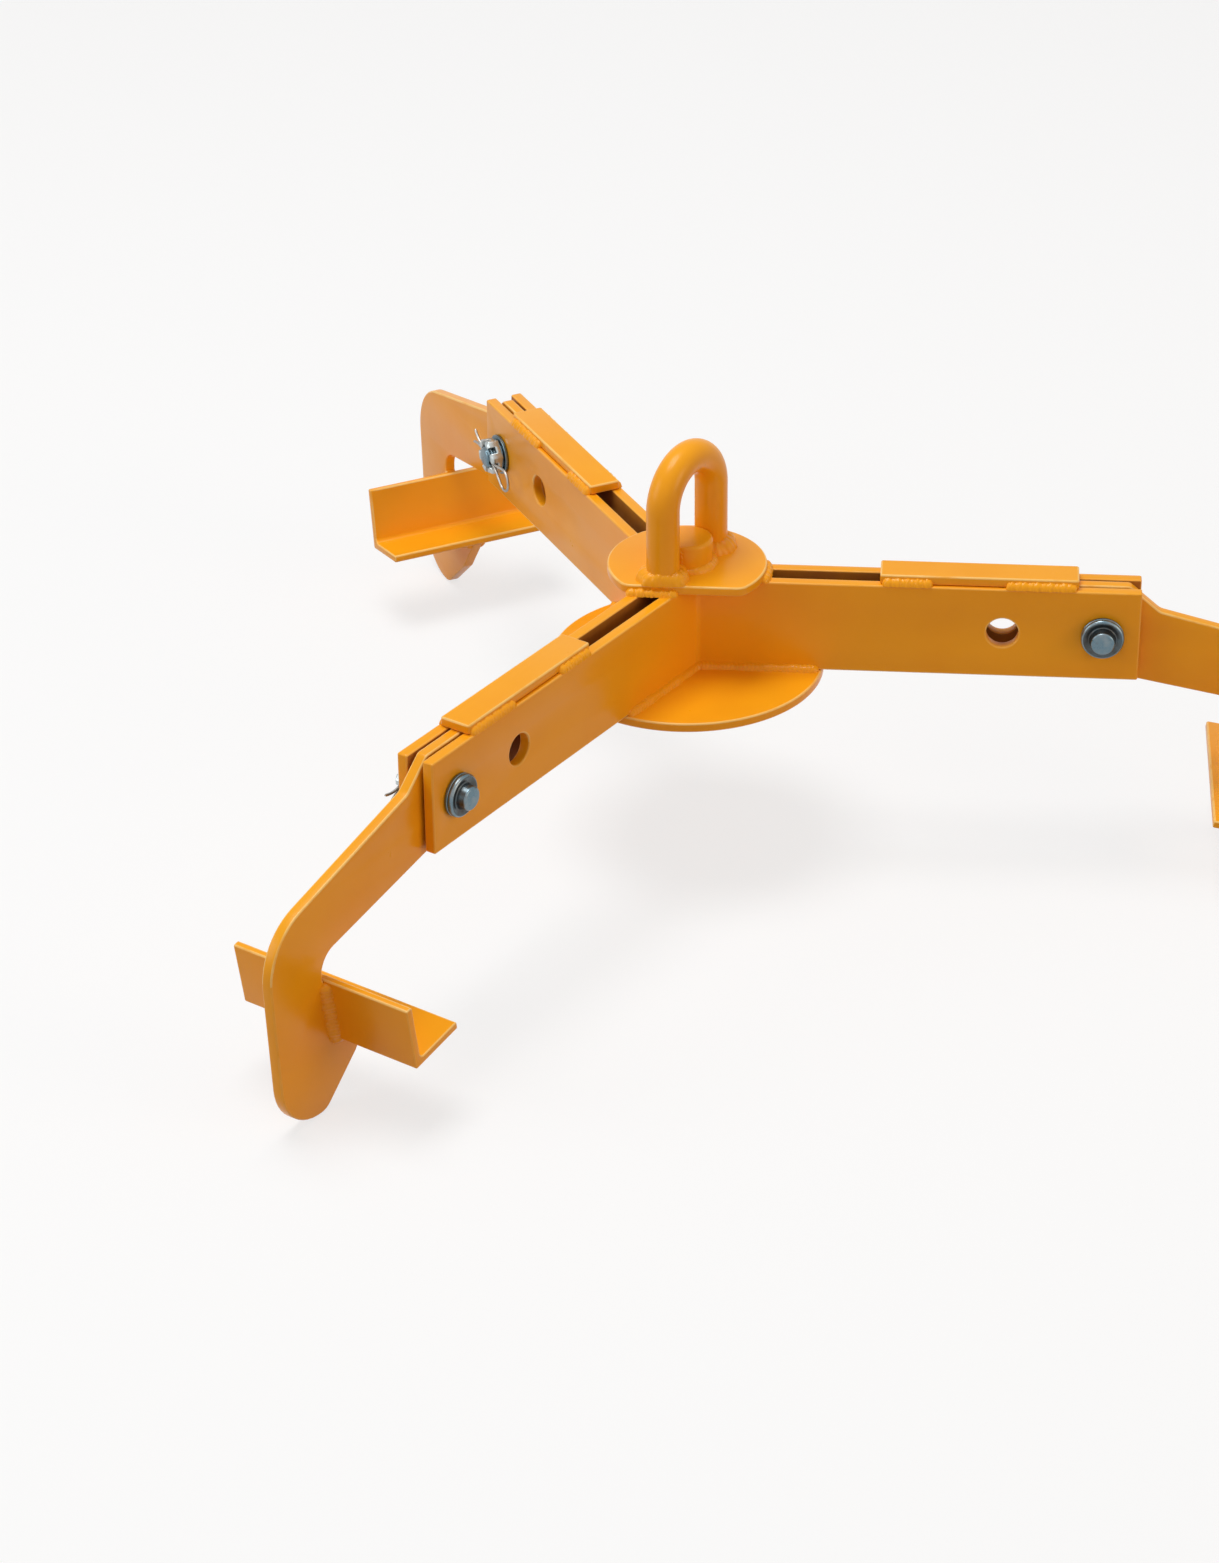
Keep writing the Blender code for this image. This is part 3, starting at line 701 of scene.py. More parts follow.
def swept(path, section):
    """Carries a section along a path; section(i) gives points as (across, up) in the path's own frame."""
    bm = bmesh.new()
    loops = []
    last = len(path) - 1
    across = (path[1] - path[0]).orthogonal()
    for i, point in enumerate(path):
        along = (path[min(i + 1, last)] - path[max(i - 1, 0)]).normalized()
        across = (across - along * across.dot(along)).normalized()
        other = along.cross(across)
        loops.append([bm.verts.new(point + across * a + other * b) for a, b in section(i)])
    skin(bm, loops, False)
    return bm


def carved(bm, cutter, edge):
    """Takes a cutter away from a body and rounds the edges sharper than 35 degrees, as a finished mesh."""
    body, tool = (bpy.data.objects.new("piece", to_mesh(part)) for part in (bm, cutter))
    for obj in (body, tool):
        bpy.context.scene.collection.objects.link(obj)
    boolean = body.modifiers.new("cut", "BOOLEAN")
    boolean.operation = "DIFFERENCE"
    boolean.solver = "EXACT"
    boolean.use_self = True
    boolean.object = tool
    bevel = body.modifiers.new("edge", "BEVEL")
    bevel.width = edge
    bevel.segments = 2
    bevel.limit_method = "ANGLE"
    bevel.angle_limit = math.radians(35)
    bpy.context.view_layer.update()
    mesh = bpy.data.meshes.new_from_object(body.evaluated_get(bpy.context.evaluated_depsgraph_get()))
    for obj in (body, tool):
        bpy.data.objects.remove(obj)
    return mesh


def bead(bm, seam, leg, closed=False):
    """Adds a rippled weld along a seam of (root, reach along one face, reach along the other face)."""
    w = bpy.context.scene.lifter_welds
    if closed:
        seam = seam + seam[:1]
    marks = [0.0]
    for before, after in zip(seam, seam[1:]):
        marks.append(marks[-1] + max((after[0] - before[0]).length, 1e-7))
    total = marks[-1]
    ripples = max(2, round(total / w.ripple))
    count = ripples * RIPPLE_POINTS
    loops = []
    spot = 0
    for i in range(count if closed else count + 1):
        along = total * i / count
        while spot < len(seam) - 2 and marks[spot + 1] < along:
            spot += 1
        share = (along - marks[spot]) / (marks[spot + 1] - marks[spot])
        root, first, second = (a.lerp(b, share) for a, b in zip(seam[spot], seam[spot + 1]))
        swell = leg
        if not closed:
            near = min(1.0, (min(along, total - along) + WELD_END) / leg)
            swell *= math.sqrt(1 - (1 - near) ** 2)
        turn = 2 * math.pi * along / total
        wander = sum(share * math.sin(turn * waves + total * shift) for share, waves, shift in WELD_WANDER)
        loop = [bm.verts.new(root - (first + second) * swell * WELD_ROOT)]
        for k in range(WELD_STEPS + 1):
            u = k / WELD_STEPS
            bow = math.sin(math.pi * u)
            phase = ripples * along / total + RIPPLE_BOW * bow
            ridge = abs(math.sin(math.pi * phase)) - RIPPLE_MEAN
            spread = first * (1 - u) + second * u + (first + second) * WELD_CROWN * bow
            loop.append(bm.verts.new(root + spread * swell * (1 + wander + w.depth * ridge)))
        loops.append(loop)
    skin(bm, loops, closed)


def jaw_axes():
    """The jaw's outer corner in the arm's plane, and the directions of its two legs."""
    h = bpy.context.scene.lifter_hooks
    up = Vector((math.sin(h.jaw_tilt), math.cos(h.jaw_tilt)))
    return Vector((h.jaw_out, -h.jaw_drop)), up, Vector((-up.y, up.x))


def around(steps):
    """Level directions all round the compass."""
    return [Vector((x, y, 0)) for x, y in circle(1, steps)]


def top_disc_outline():
    """A circle with one side cut off straight, its corners rounded."""
    p = bpy.context.scene.lifter_plates
    inner = p.top_disc_radius - p.top_disc_corner
    drop = p.top_disc_flat - p.top_disc_corner
    across = math.sqrt(inner * inner - drop * drop)
    lean = math.atan2(drop, across)
    outline = arc((0, 0), p.top_disc_radius, -lean, math.pi + lean, 96)
    outline += arc((-across, -drop), p.top_disc_corner, math.pi + lean, 1.5 * math.pi, 12)[1:]
    half_steps = 20
    outline += [(across * (i / half_steps - 1), -p.top_disc_flat) for i in range(1, 2 * half_steps)]
    outline += arc((across, -drop), p.top_disc_corner, -math.pi / 2, -lean, 12)[:-1]
    return outline


class LIFTER_OT_side_plates(bpy.types.Operator):
    """Builds the three bent side plates, each one side of two arms"""

    bl_idname = "lifter.side_plates"
    bl_label = "Side Plates"

    def execute(self, context):
        p = context.scene.lifter_plates
        bolts = context.scene.lifter_bolts
        arm_half = p.slot_width / 2 + p.plate_thickness
        half = SECTOR / 2
        centre = (arm_half + p.bend_radius) / math.sin(half)
        bend = math.pi - SECTOR
        neutral = p.bend_radius + p.plate_thickness / 2
        straight = p.arm_length - centre * math.cos(half)
        reach = straight + neutral * bend / 2
        middle = (PLATE_LOW + PLATE_TOP) / 2
        tall = PLATE_TOP - PLATE_LOW
        corner = 0.001
        outline = rectangle((-reach, -tall / 2), (reach, tall / 2), corner)
        holes = []
        for side in (1, -1):
            for along, radius in ((PIVOT.x, bolts.diameter / 2 + CLEAR), (p.spare_reach, p.spare_hole / 2)):
                holes.append((side * (reach - (p.arm_length - along)), PIVOT.z - middle, radius))
        bend_steps = 12
        faces_slot = 0.9
        for arm in ARMS:
            # The plate is made flat, its slot side up, and then bent
            bm = plate(outline, p.plate_thickness, p.plate_edge, holes)
            # The faces inside the slot get painted shade
            mark_painted_shade(bm, lambda face: face.normal.z > faces_slot)
            for step in range(bend_steps + 1):
                at = neutral * bend * (step / bend_steps - 0.5)
                geometry = list(bm.verts) + list(bm.edges) + list(bm.faces)
                bmesh.ops.bisect_plane(bm, geom=geometry, plane_co=(at, 0, 0), plane_no=(1, 0, 0), dist=1e-7)
            for vert in bm.verts:
                along, up, out = vert.co
                turn = max(-bend / 2, min(bend / 2, along / neutral))
                left = along - turn * neutral
                angle = math.pi - turn
                radius = neutral + out
                radial = Vector((math.cos(angle), math.sin(angle)))
                forward = Vector((math.sin(angle), -math.cos(angle)))
                spot = Vector((centre, 0)) + radial * radius + forward * left
                vert.co = (spot.x, spot.y, middle + up)
            bmesh.ops.recalc_face_normals(bm, faces=bm.faces)
            place = arm_place(arm) @ Matrix.Rotation(half, 4, "Z")
            dress(f"side_plate_{arm}", to_mesh(bm), place, "enamel", "frame")
        return {"FINISHED"}


class LIFTER_OT_hub(bpy.types.Operator):
    """Builds the two discs and the boss of the hub"""

    bl_idname = "lifter.hub"
    bl_label = "Hub"

    def execute(self, context):
        p = context.scene.lifter_plates
        for name, outline in (
            ("top_disc", top_disc_outline()),
            ("base_disc", circle(p.base_disc_radius, 144)),
        ):
            low, high = (corner.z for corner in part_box(name))
            bm = plate(outline, high - low, p.plate_edge)
            place = Matrix.Translation((0, 0, (low + high) / 2))
            dress(name, to_mesh(bm), place, "enamel", "frame")
        # The boss's edge is rounded off
        edge = 0.002
        rings = [(BOSS_LOW.z, BOSS_HIGH.x)]
        rings += [(z, x) for x, z in arc((BOSS_HIGH.x - edge, BOSS_HIGH.z - edge), edge, 0, math.pi / 2, 6)]
        dress("eye_boss", to_mesh(turned(rings, 64)), Matrix(), "enamel", "frame")
        return {"FINISHED"}


class LIFTER_OT_eye(bpy.types.Operator):
    """Builds the lifting eye, a round bar bent into an arch"""

    bl_idname = "lifter.eye"
    bl_label = "Lifting Eye"

    def execute(self, context):
        p = context.scene.lifter_eye
        reach = p.span / 2
        crown = -(reach - p.bar / 2)
        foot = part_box("lifting_eye")[0].z
        steps = 14
        path = [Vector((reach, 0, foot + (crown - foot) * i / steps)) for i in range(steps)]
        path += [Vector((x, 0, z)) for x, z in arc((0, crown), reach, 0, math.pi, 48)]
        path += [Vector((-reach, 0, crown + (foot - crown) * i / steps)) for i in range(1, steps + 1)]
        section = circle(p.bar / 2, 40)
        mesh = to_mesh(swept(path, lambda i: section))
        dress("lifting_eye", mesh, Matrix.Rotation(p.turn, 4, "Z"), "eye_enamel", "frame")
        return {"FINISHED"}


class LIFTER_OT_caps(bpy.types.Operator):
    """Builds the three cap plates over the slots"""

    bl_idname = "lifter.caps"
    bl_label = "Cap Plates"

    def execute(self, context):
        p = context.scene.lifter_plates
        corner = 0.0012
        outline = rectangle(CAP_LOW, CAP_HIGH, corner)
        for arm in ARMS:
            bm = plate(outline, CAP_HIGH.z - CAP_LOW.z, p.plate_edge)
            place = arm_place(arm) @ Matrix.Translation((0, 0, (CAP_LOW.z + CAP_HIGH.z) / 2))
            dress(f"cap_plate_{arm}", to_mesh(bm), place, "enamel", "frame")
        return {"FINISHED"}


class LIFTER_OT_hook_plates(bpy.types.Operator):
    """Builds the three cut hook plates, each with its notch for the jaw"""

    bl_idname = "lifter.hook_plates"
    bl_label = "Hook Plates"

    def execute(self, context):
        h = context.scene.lifter_hooks
        corner, up, inwards = jaw_axes()
        seat = corner - (up + inwards) * CLEAR
        back_top = corner + up * h.jaw_leg
        throat_foot = seat + up * (h.jaw_leg + CLEAR)
        throat_out = back_top.x + h.throat_step
        ledge_tip = seat + inwards * (h.jaw_shelf - h.jaw_tip)
        tail_top = (PLATE_TOP - PLATE_LOW) / 2
        outline = rounded([
            (-h.tail_back, tail_top, h.tail_corner),
            (-h.tail_back, -h.tail_drop, h.tail_heel),
            (h.under_in, -h.under_drop, h.tail_corner),
            (throat_out, -h.throat_drop, h.throat_radius),
            (throat_out, back_top.y + CLEAR, 0),
            (throat_foot.x, throat_foot.y, 0),
            (seat.x, seat.y, 0),
            (ledge_tip.x, ledge_tip.y, 0),
            (h.heel_out, -h.heel_drop, h.toe_corner),
            (h.toe_back, -h.toe_drop, h.toe_corner),
            (h.shoulder_out - h.back_taper, -h.toe_drop, h.toe_radius),
            (h.shoulder_out, -h.shoulder_drop, h.shoulder_radius),
            (h.neck_out, h.neck_up, h.neck_corner),
            (h.tail_front, tail_top, h.tail_corner),
        ])
        for arm in ARMS:
            bm = plate(outline, h.thickness, h.edge, [(0, 0, h.bush / 2 + CLEAR)])
            place = pivot_place(arm) @ Matrix.Rotation(math.pi / 2, 4, "X")
            dress(f"hook_plate_{arm}", to_mesh(bm), place, "enamel", f"hook_{arm}")
        return {"FINISHED"}


class LIFTER_OT_rim_jaws(bpy.types.Operator):
    """Builds the three rim jaws, lengths of angle bar that lean with the rim"""

    bl_idname = "lifter.rim_jaws"
    bl_label = "Rim Jaws"

    def execute(self, context):
        h = context.scene.lifter_hooks
        corner, up, inwards = jaw_axes()
        section = []
        for rise, run, radius in (
            (0, 0, h.jaw_tip),
            (0, h.jaw_shelf, h.jaw_tip),
            (h.jaw_thickness, h.jaw_shelf, h.jaw_tip),
            (h.jaw_thickness, h.jaw_thickness, h.jaw_root),
            (h.jaw_leg, h.jaw_thickness, h.jaw_tip),
            (h.jaw_leg, 0, h.jaw_tip),
        ):
            spot = corner + up * rise + inwards * run
            section.append((spot.x, spot.y, radius))
        outline = rounded(section, 5)
        for arm in ARMS:
            bm = plate(outline, h.jaw_length, h.jaw_tip * 0.7, narrow=h.jaw_tip / 2)
            place = pivot_place(arm) @ Matrix.Rotation(math.pi / 2, 4, "X")
            dress(f"rim_jaw_{arm}", to_mesh(bm), place, "enamel", f"hook_{arm}")
        return {"FINISHED"}


class LIFTER_OT_bolts(bpy.types.Operator):
    """Builds the pivot bolts, with a stepped head, a threaded tip and a cross hole, and their washers"""

    bl_idname = "lifter.bolts"
    bl_label = "Pivot Bolts and Washers"

    def execute(self, context):
        b = context.scene.lifter_bolts
        near, far = -WASHER_HIGH.y, -WASHER_LOW.y
        seat = far + CLEAR
        shank = b.diameter / 2
        tip = -(seat + b.nut + b.past_nut)
        start = -(seat + b.nut - b.slot_depth - b.pitch)
        run_out = 0.0002
        points_a_turn = 8
        steps = round((start - tip) / b.pitch * points_a_turn)

        def thread(height):
            def radius(angle):
                lead = (height / b.pitch - angle / (2 * math.pi)) % 1.0
                groove = b.thread_depth * abs(2 * lead - 1)
                return min(shank - groove, shank - b.tip + (height - tip))
            return radius

        heights = [tip + (start - tip) * i / steps for i in range(steps + 1)]
        rings = [(height, thread(height)) for height in heights]
        rings += [(start + run_out, shank), (seat, shank)]

        # The head: its underside, a rounded rim, a hollow ring inside it, and a raised middle
        rim, middle = b.head / 2, b.head_face / 2
        under, shoulder, hollow, crown = 0.0004, b.head_rim * 0.6, 0.0007, 0.0010
        hollow_out = 0.0012
        for x, z, radius, first, last, count in (
            (rim - under, seat + under, under, -math.pi / 2, 0, 3),
            (rim - shoulder, seat + b.head_rim * 0.4, shoulder, 0, math.pi * 0.6, 6),
            (middle + hollow_out, seat + b.head_rim, hollow, -math.pi * 0.4, -math.pi, 6),
            (middle - crown, seat + b.head_height - crown, crown, 0, math.pi / 2, 6),
        ):
            rings += [(up, across) for across, up in arc((x, z), radius, first, last, count)]

        # Painted shade darkens the hollow ring between the rim and the raised middle
        shade_low, shade_in, shade_out = seat + 0.0005, middle + 0.0002, rim * 0.92

        def in_shaded_ring(face):
            spot = face.calc_center_median()
            return spot.z > shade_low and shade_in < math.hypot(spot.x, spot.y) < shade_out

        outer = WASHER_HIGH.z - PIVOT.z
        bore = shank + CLEAR
        chamfer = 0.00025
        washer = [(near, bore), (near, outer - chamfer), (near + chamfer, outer),
                  (far - chamfer, outer), (far, outer - chamfer), (far, bore)]
        hole = Matrix.Translation((0, 0, -(seat + b.nut - b.slot_depth / 2)))
        hole @= Matrix.Rotation(math.pi / 2, 4, "X")
        edge = 0.00008
        for arm in ARMS:
            place = bolt_place(arm)
            bm = turned(rings)
            mark_painted_shade(bm, in_shaded_ring)
            cutter = bmesh.new()
            bmesh.ops.create_cone(
                cutter, cap_ends=True, segments=24, radius1=b.slot_width / 2, radius2=b.slot_width / 2,
                depth=3 * b.diameter, matrix=hole)
            bolt = carved(bm, cutter, edge)
            dress(f"pivot_bolt_{arm}", bolt, place, "zinc", "frame", "plated")
            for name, side in (("head_washer", 1), ("nut_washer", -1)):
                bm = turned([(side * height, radius) for height, radius in washer], hollow=True)
                dress(f"{name}_{arm}", to_mesh(bm), place, "zinc", "frame", "plated")
        return {"FINISHED"}


class LIFTER_OT_castle_nuts(bpy.types.Operator):
    """Builds the castle nuts, with chamfered corners and six slots for the split pin"""

    bl_idname = "lifter.castle_nuts"
    bl_label = "Castle Nuts"

    def execute(self, context):
        b = context.scene.lifter_bolts
        seat = -WASHER_LOW.y + CLEAR
        crown = seat + b.nut
        corners = b.flats / math.sqrt(3)
        bore = b.diameter / 2 + CLEAR
        bore_chamfer = 0.0005
        face = b.flats / 2 * 0.97
        chamfer = corners - face
        rings = [
            (seat, face, b.flats), (seat + chamfer * 0.5, corners, b.flats),
            (crown - chamfer * 0.6, corners, b.flats), (crown, face, b.flats),
            (crown, bore + bore_chamfer), (crown - bore_chamfer, bore), (seat, bore),
        ]
        sides = 72
        edge = 0.00018
        block = Matrix.Diagonal((b.slot_width, 3 * b.diameter, 2 * b.slot_depth, 1))
        lift = Matrix.Translation((0, 0, -crown))
        for arm in ARMS:
            bm = turned([(-height, *ring) for height, *ring in rings], sides, hollow=True)
            cutter = bmesh.new()
            for turn in range(3):
                spin = Matrix.Rotation(turn * math.pi / 3, 4, "Z")
                bmesh.ops.create_cube(cutter, size=1, matrix=lift @ spin @ block)
            nut = carved(bm, cutter, edge)
            # The nuts get the lighter zinc copy, a painted sheen
            dress(f"castle_nut_{arm}", nut, bolt_place(arm), "sheen_zinc", "frame", "plated")
        return {"FINISHED"}


class LIFTER_OT_split_pins(bpy.types.Operator):
    """Builds the split pins, each one wire with an open eye and two spread legs"""

    bl_idname = "lifter.split_pins"
    bl_label = "Split Pins"

    def execute(self, context):
        b = context.scene.lifter_bolts
        seat = -WASHER_LOW.y + CLEAR
        nut_side = b.flats / 2 + CLEAR
        offset = b.pin_wire / 2 + CLEAR / 2
        eye_out = nut_side + b.pin_neck + b.pin_eye
        # Angle at the eye's centre between the nut and the point where a leg meets the eye
        start = math.acos(b.pin_eye / (b.pin_neck + b.pin_eye))
        steps = 12
        shares = [i / steps for i in range(steps, -1, -1)]
        leg = [(offset + b.pin_spread * share * share, nut_side + b.pin_tail * share) for share in shares]
        part_out = 0.0002
        leg += [(offset, 0), (offset, -nut_side * 0.8), (offset + part_out, -nut_side)]
        eye = arc((0, -eye_out), b.pin_eye, math.pi / 2 - start, start - 1.5 * math.pi, 36)
        path = [Vector((x, y, 0)) for x, y in leg + eye + [(-x, y) for x, y in reversed(leg)]]
        wire = circle(b.pin_wire / 2, 12)
        end = circle(b.pin_wire / 2 * 0.55, 12)
        ends = (0, len(path) - 1)
        lift = Matrix.Translation((0, 0, -(seat + b.nut - b.slot_depth / 2)))
        for arm in ARMS:
            pin = to_mesh(swept(path, lambda i: end if i in ends else wire))
            dress(f"split_pin_{arm}", pin, bolt_place(arm) @ lift, "steel", "frame", "drawn")
        return {"FINISHED"}


class LIFTER_OT_bushes(bpy.types.Operator):
    """Gives the bushes that the hooks turn on their drawn steel"""

    bl_idname = "lifter.bushes"
    bl_label = "Pivot Bushes"

    def execute(self, context):
        for arm in ARMS:
            materials = frame["nodes"][f"pivot_bush_{arm}"].data.materials
            materials.clear()
            materials.append(finish("steel"))
        return {"FINISHED"}


class LIFTER_OT_welds(bpy.types.Operator):
    """Lays the weld beads of the caps, discs, boss, eye and jaws"""

    bl_idname = "lifter.welds"
    bl_label = "Weld Beads"

    def cap_beads(self, w):
        """Along both sides of each cap, near its two ends."""
        bm = bmesh.new()
        rise = Vector((0, 0, 1.25))
        short = 0.001
        for arm in ARMS:
            turn = arm_place(arm).to_3x3()
            for side in (1, -1):
                edge = side * CAP_HIGH.y
                for ends in ((CAP_LOW.x + short, w.cap_inner), (w.cap_outer, CAP_HIGH.x - short)):
                    away = turn @ Vector((0, side, 0))
                    bead(bm, [(turn @ Vector((x, edge, PLATE_TOP)), rise, away) for x in ends], w.cap_leg)
        return bm

    def disc_beads(self, w, p):
        """Along the top disc's edge, where it lies over an arm."""
        bm = bmesh.new()
        outline = [Vector((x, y, 0)) for x, y in top_disc_outline()]
        past = 0.0015
        half = p.slot_width / 2 + p.plate_thickness + past
        rise = Vector((0, 0, 1.1))
        count = len(outline)
        for arm in ARMS:
            back = arm_place(arm).to_3x3().inverted()
            own = [back @ spot for spot in outline]
            inside = {i for i, spot in enumerate(own) if spot.x > 0 and abs(spot.y) < half}
            i = next(i for i in inside if (i - 1) % count not in inside)
            seam = []
            while i in inside:
                along = outline[(i + 1) % count] - outline[i - 1]
                away = Vector((along.y, -along.x, 0)).normalized()
                seam.append((outline[i] + Vector((0, 0, PLATE_TOP)), rise, away))
                i = (i + 1) % count
            bead(bm, seam, w.disc_leg)
        return bm

    def eye_beads(self, w, p, e):
        """Round the eye's feet, kept on the disc at its straight side, and up the boss beside them."""
        bm = bmesh.new()
        lift = Vector((0, 0, TOP_DISC_HIGH))
        aside = Vector((math.cos(e.turn), math.sin(e.turn), 0))
        rise = Vector((0, 0, 1.1))
        past_flat = 0.0016
        for side in (1, -1):
            seam = []
            for away in around(72):
                root = aside * (side * e.span / 2) + away * (e.bar / 2)
                room = 1.0
                if away.y < -0.05:
                    room = ((root.y + p.top_disc_flat) / -away.y + past_flat) / w.eye_leg
                seam.append((root + lift, rise, away * min(1.0, room)))
            bead(bm, seam, w.eye_leg, closed=True)
        up = Vector((0, 0, 1))
        bead(bm, [(away * BOSS_HIGH.x + lift, up, away) for away in around(60)], w.boss_leg, closed=True)

        # Up the boss, in the corners between it and the eye's legs
        across = Vector((-aside.y, aside.x, 0))
        sunk, apart, lean, short = 0.0002, 0.0022, 0.22, 0.001
        for side in (1, -1):
            for way in (1, -1):
                root = aside * side * (BOSS_HIGH.x - sunk) + across * way * apart
                slant = aside * side * lean
                seam = [(root + Vector((0, 0, z)), across * way - slant, across * way + slant)
                        for z in (TOP_DISC_HIGH, BOSS_HIGH.z - short)]
                bead(bm, seam, w.boss_leg)
        return bm

    def base_beads(self, w, p):
        """Between the base disc and the outer faces of the side plates."""
        bm = bmesh.new()
        half = SECTOR / 2
        face = p.slot_width / 2 + p.plate_thickness
        centre = Vector(((face + p.bend_radius) / math.sin(half), 0, 0))
        short = 0.0015
        reach = math.sqrt(p.base_disc_radius ** 2 - face ** 2) - short
        rise = Vector((0, 0, 1))
        turn = half + math.pi / 2
        for arm in ARMS:
            spin = (arm_place(arm) @ Matrix.Rotation(half, 4, "Z")).to_3x3()
            seam = []
            for x, y in arc(centre, p.bend_radius, turn, 2 * math.pi - turn, 8):
                spot = Vector((x, y, 0))
                seam.append((spot, (centre - spot).normalized()))
            for side, add in ((1, lambda end: seam.insert(0, end)), (-1, seam.append)):
                along = Vector((math.cos(half), side * math.sin(half), 0))
                away = Vector((math.sin(half), -side * math.cos(half), 0))
                add((along * reach + away * face, away))
            lift = Vector((0, 0, BASE_DISC_HIGH))
            bead(bm, [(spin @ spot + lift, rise, spin @ away) for spot, away in seam], w.base_leg)
        return bm

    def jaw_beads(self, w, h):
        """Along the back of a jaw and under its shelf, on both sides of the hook plate."""
        bm = bmesh.new()
        corner, up, inwards = jaw_axes()
        turn = h.jaw_tip * 2
        sunk = h.jaw_tip * 0.4
        top_short, shelf_short = 0.0015, 0.003
        marks = [
            (corner + up * (h.jaw_leg - top_short), -inwards),
            (corner + up * turn, -inwards),
            (corner + (up + inwards) * sunk, -(up + inwards)),
            (corner + inwards * turn, -up),
            (corner + inwards * (h.jaw_shelf - shelf_short), -up),
        ]
        for side in (1, -1):
            seam = []
            for spot, away in marks:
                root = Vector((spot.x, side * h.thickness / 2, spot.y))
                seam.append((root, Vector((away.x, 0, away.y)).normalized(), Vector((0, side, 0))))
            bead(bm, seam, w.jaw_leg)
        return bm

    def execute(self, context):
        w = context.scene.lifter_welds
        p = context.scene.lifter_plates
        for name, bm, slot in (
            ("cap_welds", self.cap_beads(w), "arm_paint"),
            ("top_disc_welds", self.disc_beads(w, p), "hub_paint"),
            ("eye_welds", self.eye_beads(w, p, context.scene.lifter_eye), "eye_paint"),
            ("base_disc_welds", self.base_beads(w, p), "hub_paint"),
        ):
            show(name, to_mesh(bm), Matrix(), "weld_enamel", "frame")
        for arm in ARMS:
            mesh = to_mesh(self.jaw_beads(w, context.scene.lifter_hooks))
            show(f"jaw_welds_{arm}", mesh, pivot_place(arm), "weld_enamel", f"hook_{arm}")
        return {"FINISHED"}


# Where the lamps are aimed, and each lamp's name, place, width, power and colour
LAMP_AIM = Vector((0, 0, -0.1))
LAMPS = (
    ("key_lamp", (-0.5, 0.1, 2.5), 1.3, 45, (1.0, 1.0, 1.0)),
    ("left_lamp", (-2.6, -0.9, 1.0), 1.4, 16, (1.0, 1.0, 1.0)),
    ("right_lamp", (2.6, -1.1, 0.75), 1.2, 17, (1.0, 0.76, 0.52)),
)


def stage_light(name, place, width, power, colour):
    """A square soft lamp."""
    lamp = bpy.data.lights.new(name, "AREA")
    lamp.shape = "SQUARE"
    lamp.size = width
    lamp.energy = power
    lamp.color = colour
    obj = bpy.data.objects.new(name, lamp)
    bpy.context.scene.collection.objects.link(obj)
    obj.location = place
    obj.rotation_euler = (LAMP_AIM - Vector(place)).to_track_quat("-Z", "Y").to_euler()


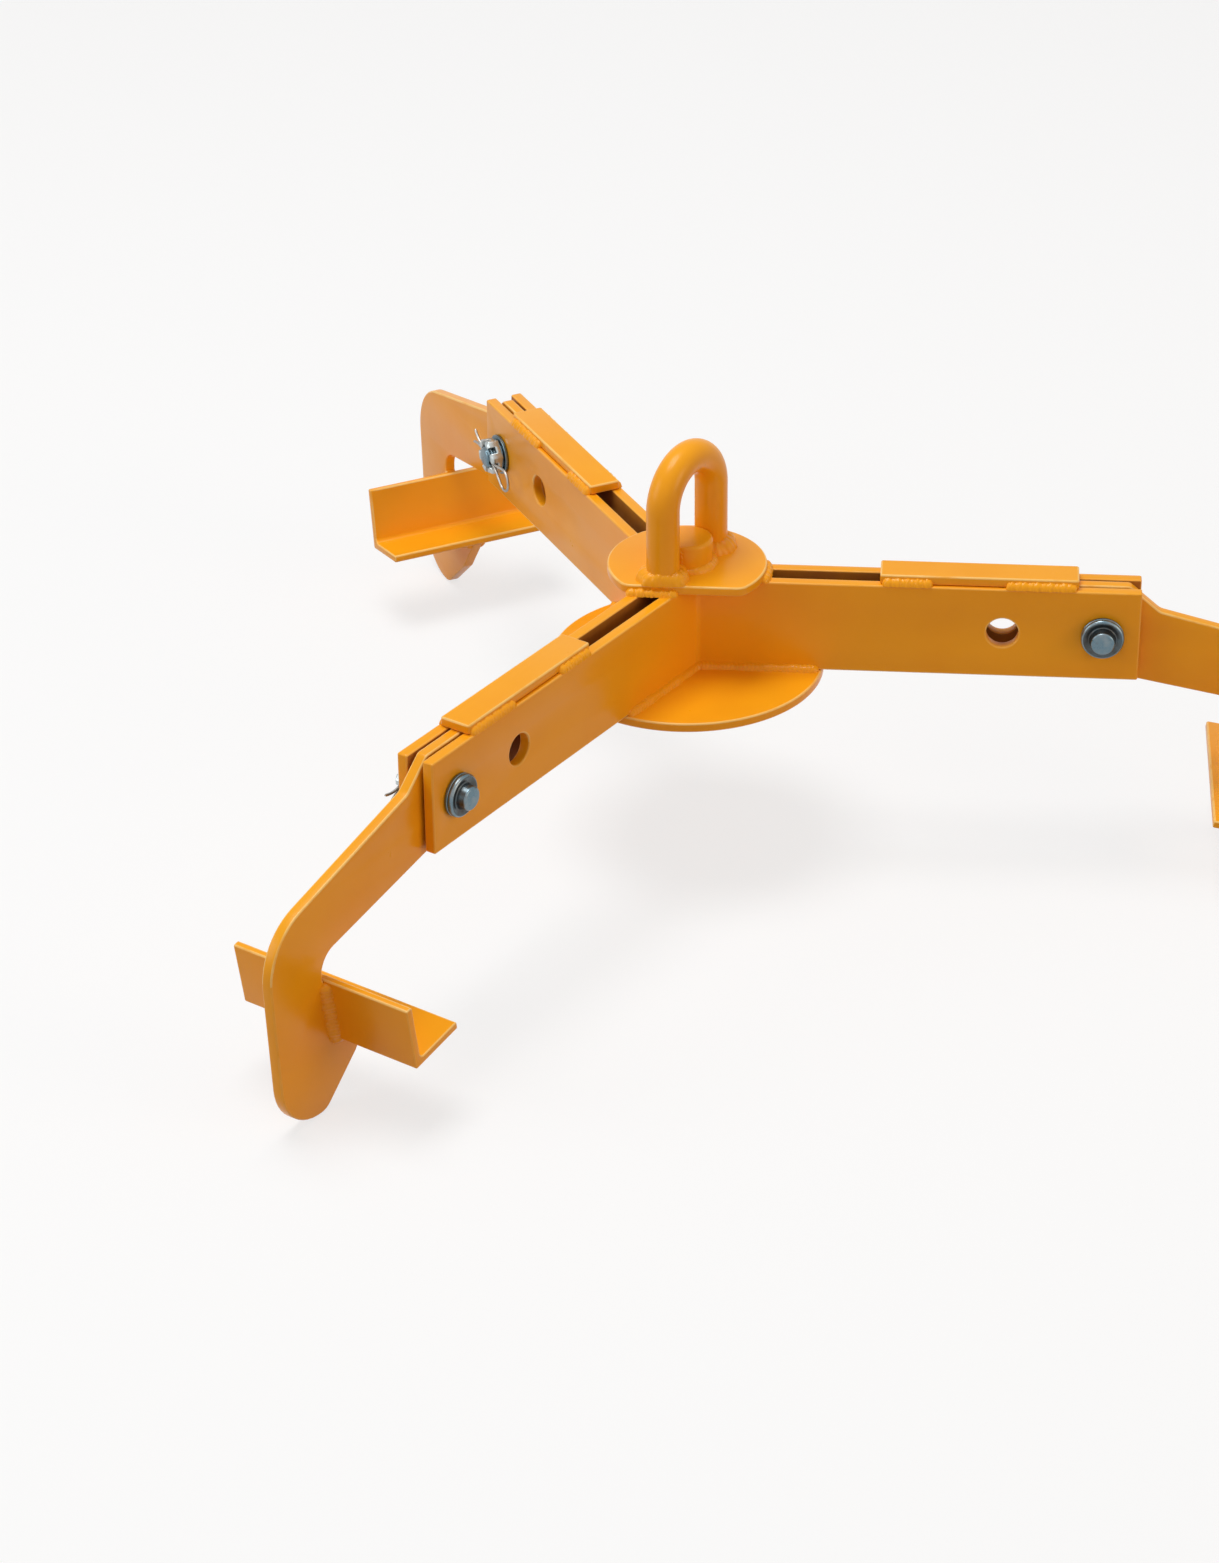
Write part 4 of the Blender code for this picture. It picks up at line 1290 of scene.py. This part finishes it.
class LIFTER_OT_stage(bpy.types.Operator):
    """Builds the camera, the lamps, the floor and the backdrop"""

    bl_idname = "lifter.stage"
    bl_label = "Stage"

    def execute(self, context):
        scene = context.scene
        s = scene.lifter_stage
        turn = Matrix.Rotation(s.turn, 3, "Z")
        forward = Vector((0, math.cos(s.pitch), -math.sin(s.pitch)))
        right = Vector((1, 0, 0))
        up = right.cross(forward)
        tilted_right = right * math.cos(s.roll) + up * math.sin(s.roll)
        tilted_up = up * math.cos(s.roll) - right * math.sin(s.roll)
        axes = Matrix((tilted_right, tilted_up, -forward)).transposed()
        camera = bpy.data.objects.new("camera", bpy.data.cameras.new("camera"))
        scene.collection.objects.link(camera)
        spot = Vector(s.aim) - turn @ forward * s.distance
        camera.matrix_world = Matrix.Translation(spot) @ (turn @ axes).to_4x4()
        camera.data.sensor_width = SENSOR
        camera.data.lens = s.focal_pixels / PICTURE_HEIGHT * SENSOR
        scene.camera = camera

        # The floor lies just under the lifter and bends up into the backdrop
        floor_z = cad_low.z - 0.0005
        width, near, far, tall, bend = 14.0, -6.0, 3.2, 4.0, 1.2
        profile = [(near, floor_z), (far - bend, floor_z)]
        profile += arc((far - bend, floor_z + bend), bend, -math.pi / 2, 0, 16)[1:]
        profile += [(far, floor_z + tall)]
        bm = bmesh.new()
        rails = [[bm.verts.new((x, y, z)) for y, z in profile] for x in (-width / 2, width / 2)]
        for i in range(len(profile) - 1):
            bm.faces.new((rails[0][i], rails[1][i], rails[1][i + 1], rails[0][i + 1]))
        mesh = to_mesh(bm)
        mesh.shade_smooth()
        mesh.materials.append(finish("floor"))
        backdrop = bpy.data.objects.new("backdrop", mesh)
        scene.collection.objects.link(backdrop)
        backdrop.matrix_world = Matrix.Rotation(s.turn, 4, "Z")

        for lamp in LAMPS:
            stage_light(*lamp)

        world = bpy.data.worlds.new("studio")
        scene.world = world
        g = Graph(world, "Background")
        g.set(Color=(1.0, 1.0, 1.0), Strength=g.seen() * (1 - s.world_light) + s.world_light)

        scene.view_settings.view_transform = "Standard"
        return {"FINISHED"}


class LIFTER_PT_panel(bpy.types.Panel):
    """Lists the operators that build the lifter"""

    bl_label = "Drum Lifter"
    bl_idname = "LIFTER_PT_panel"
    bl_space_type = "VIEW_3D"
    bl_region_type = "UI"
    bl_category = "Lifter"

    def draw(self, context):
        for operator in OPERATORS:
            self.layout.operator(operator.bl_idname)


OPERATORS = (
    LIFTER_OT_stage,
    LIFTER_OT_side_plates,
    LIFTER_OT_hub,
    LIFTER_OT_eye,
    LIFTER_OT_caps,
    LIFTER_OT_hook_plates,
    LIFTER_OT_rim_jaws,
    LIFTER_OT_bolts,
    LIFTER_OT_castle_nuts,
    LIFTER_OT_split_pins,
    LIFTER_OT_bushes,
    LIFTER_OT_welds,
)


def register():
    for name, group in GROUPS.items():
        bpy.utils.register_class(group)
        setattr(bpy.types.Scene, name, bpy.props.PointerProperty(type=group))
    for operator in OPERATORS:
        bpy.utils.register_class(operator)
    bpy.utils.register_class(LIFTER_PT_panel)


def unregister():
    bpy.utils.unregister_class(LIFTER_PT_panel)
    for operator in reversed(OPERATORS):
        bpy.utils.unregister_class(operator)
    for name, group in reversed(GROUPS.items()):
        delattr(bpy.types.Scene, name)
        bpy.utils.unregister_class(group)


def main():
    register()
    for operator in OPERATORS:
        family, action = operator.bl_idname.split(".")
        getattr(getattr(bpy.ops, family), action)()


if __name__ == "__main__":
    main()
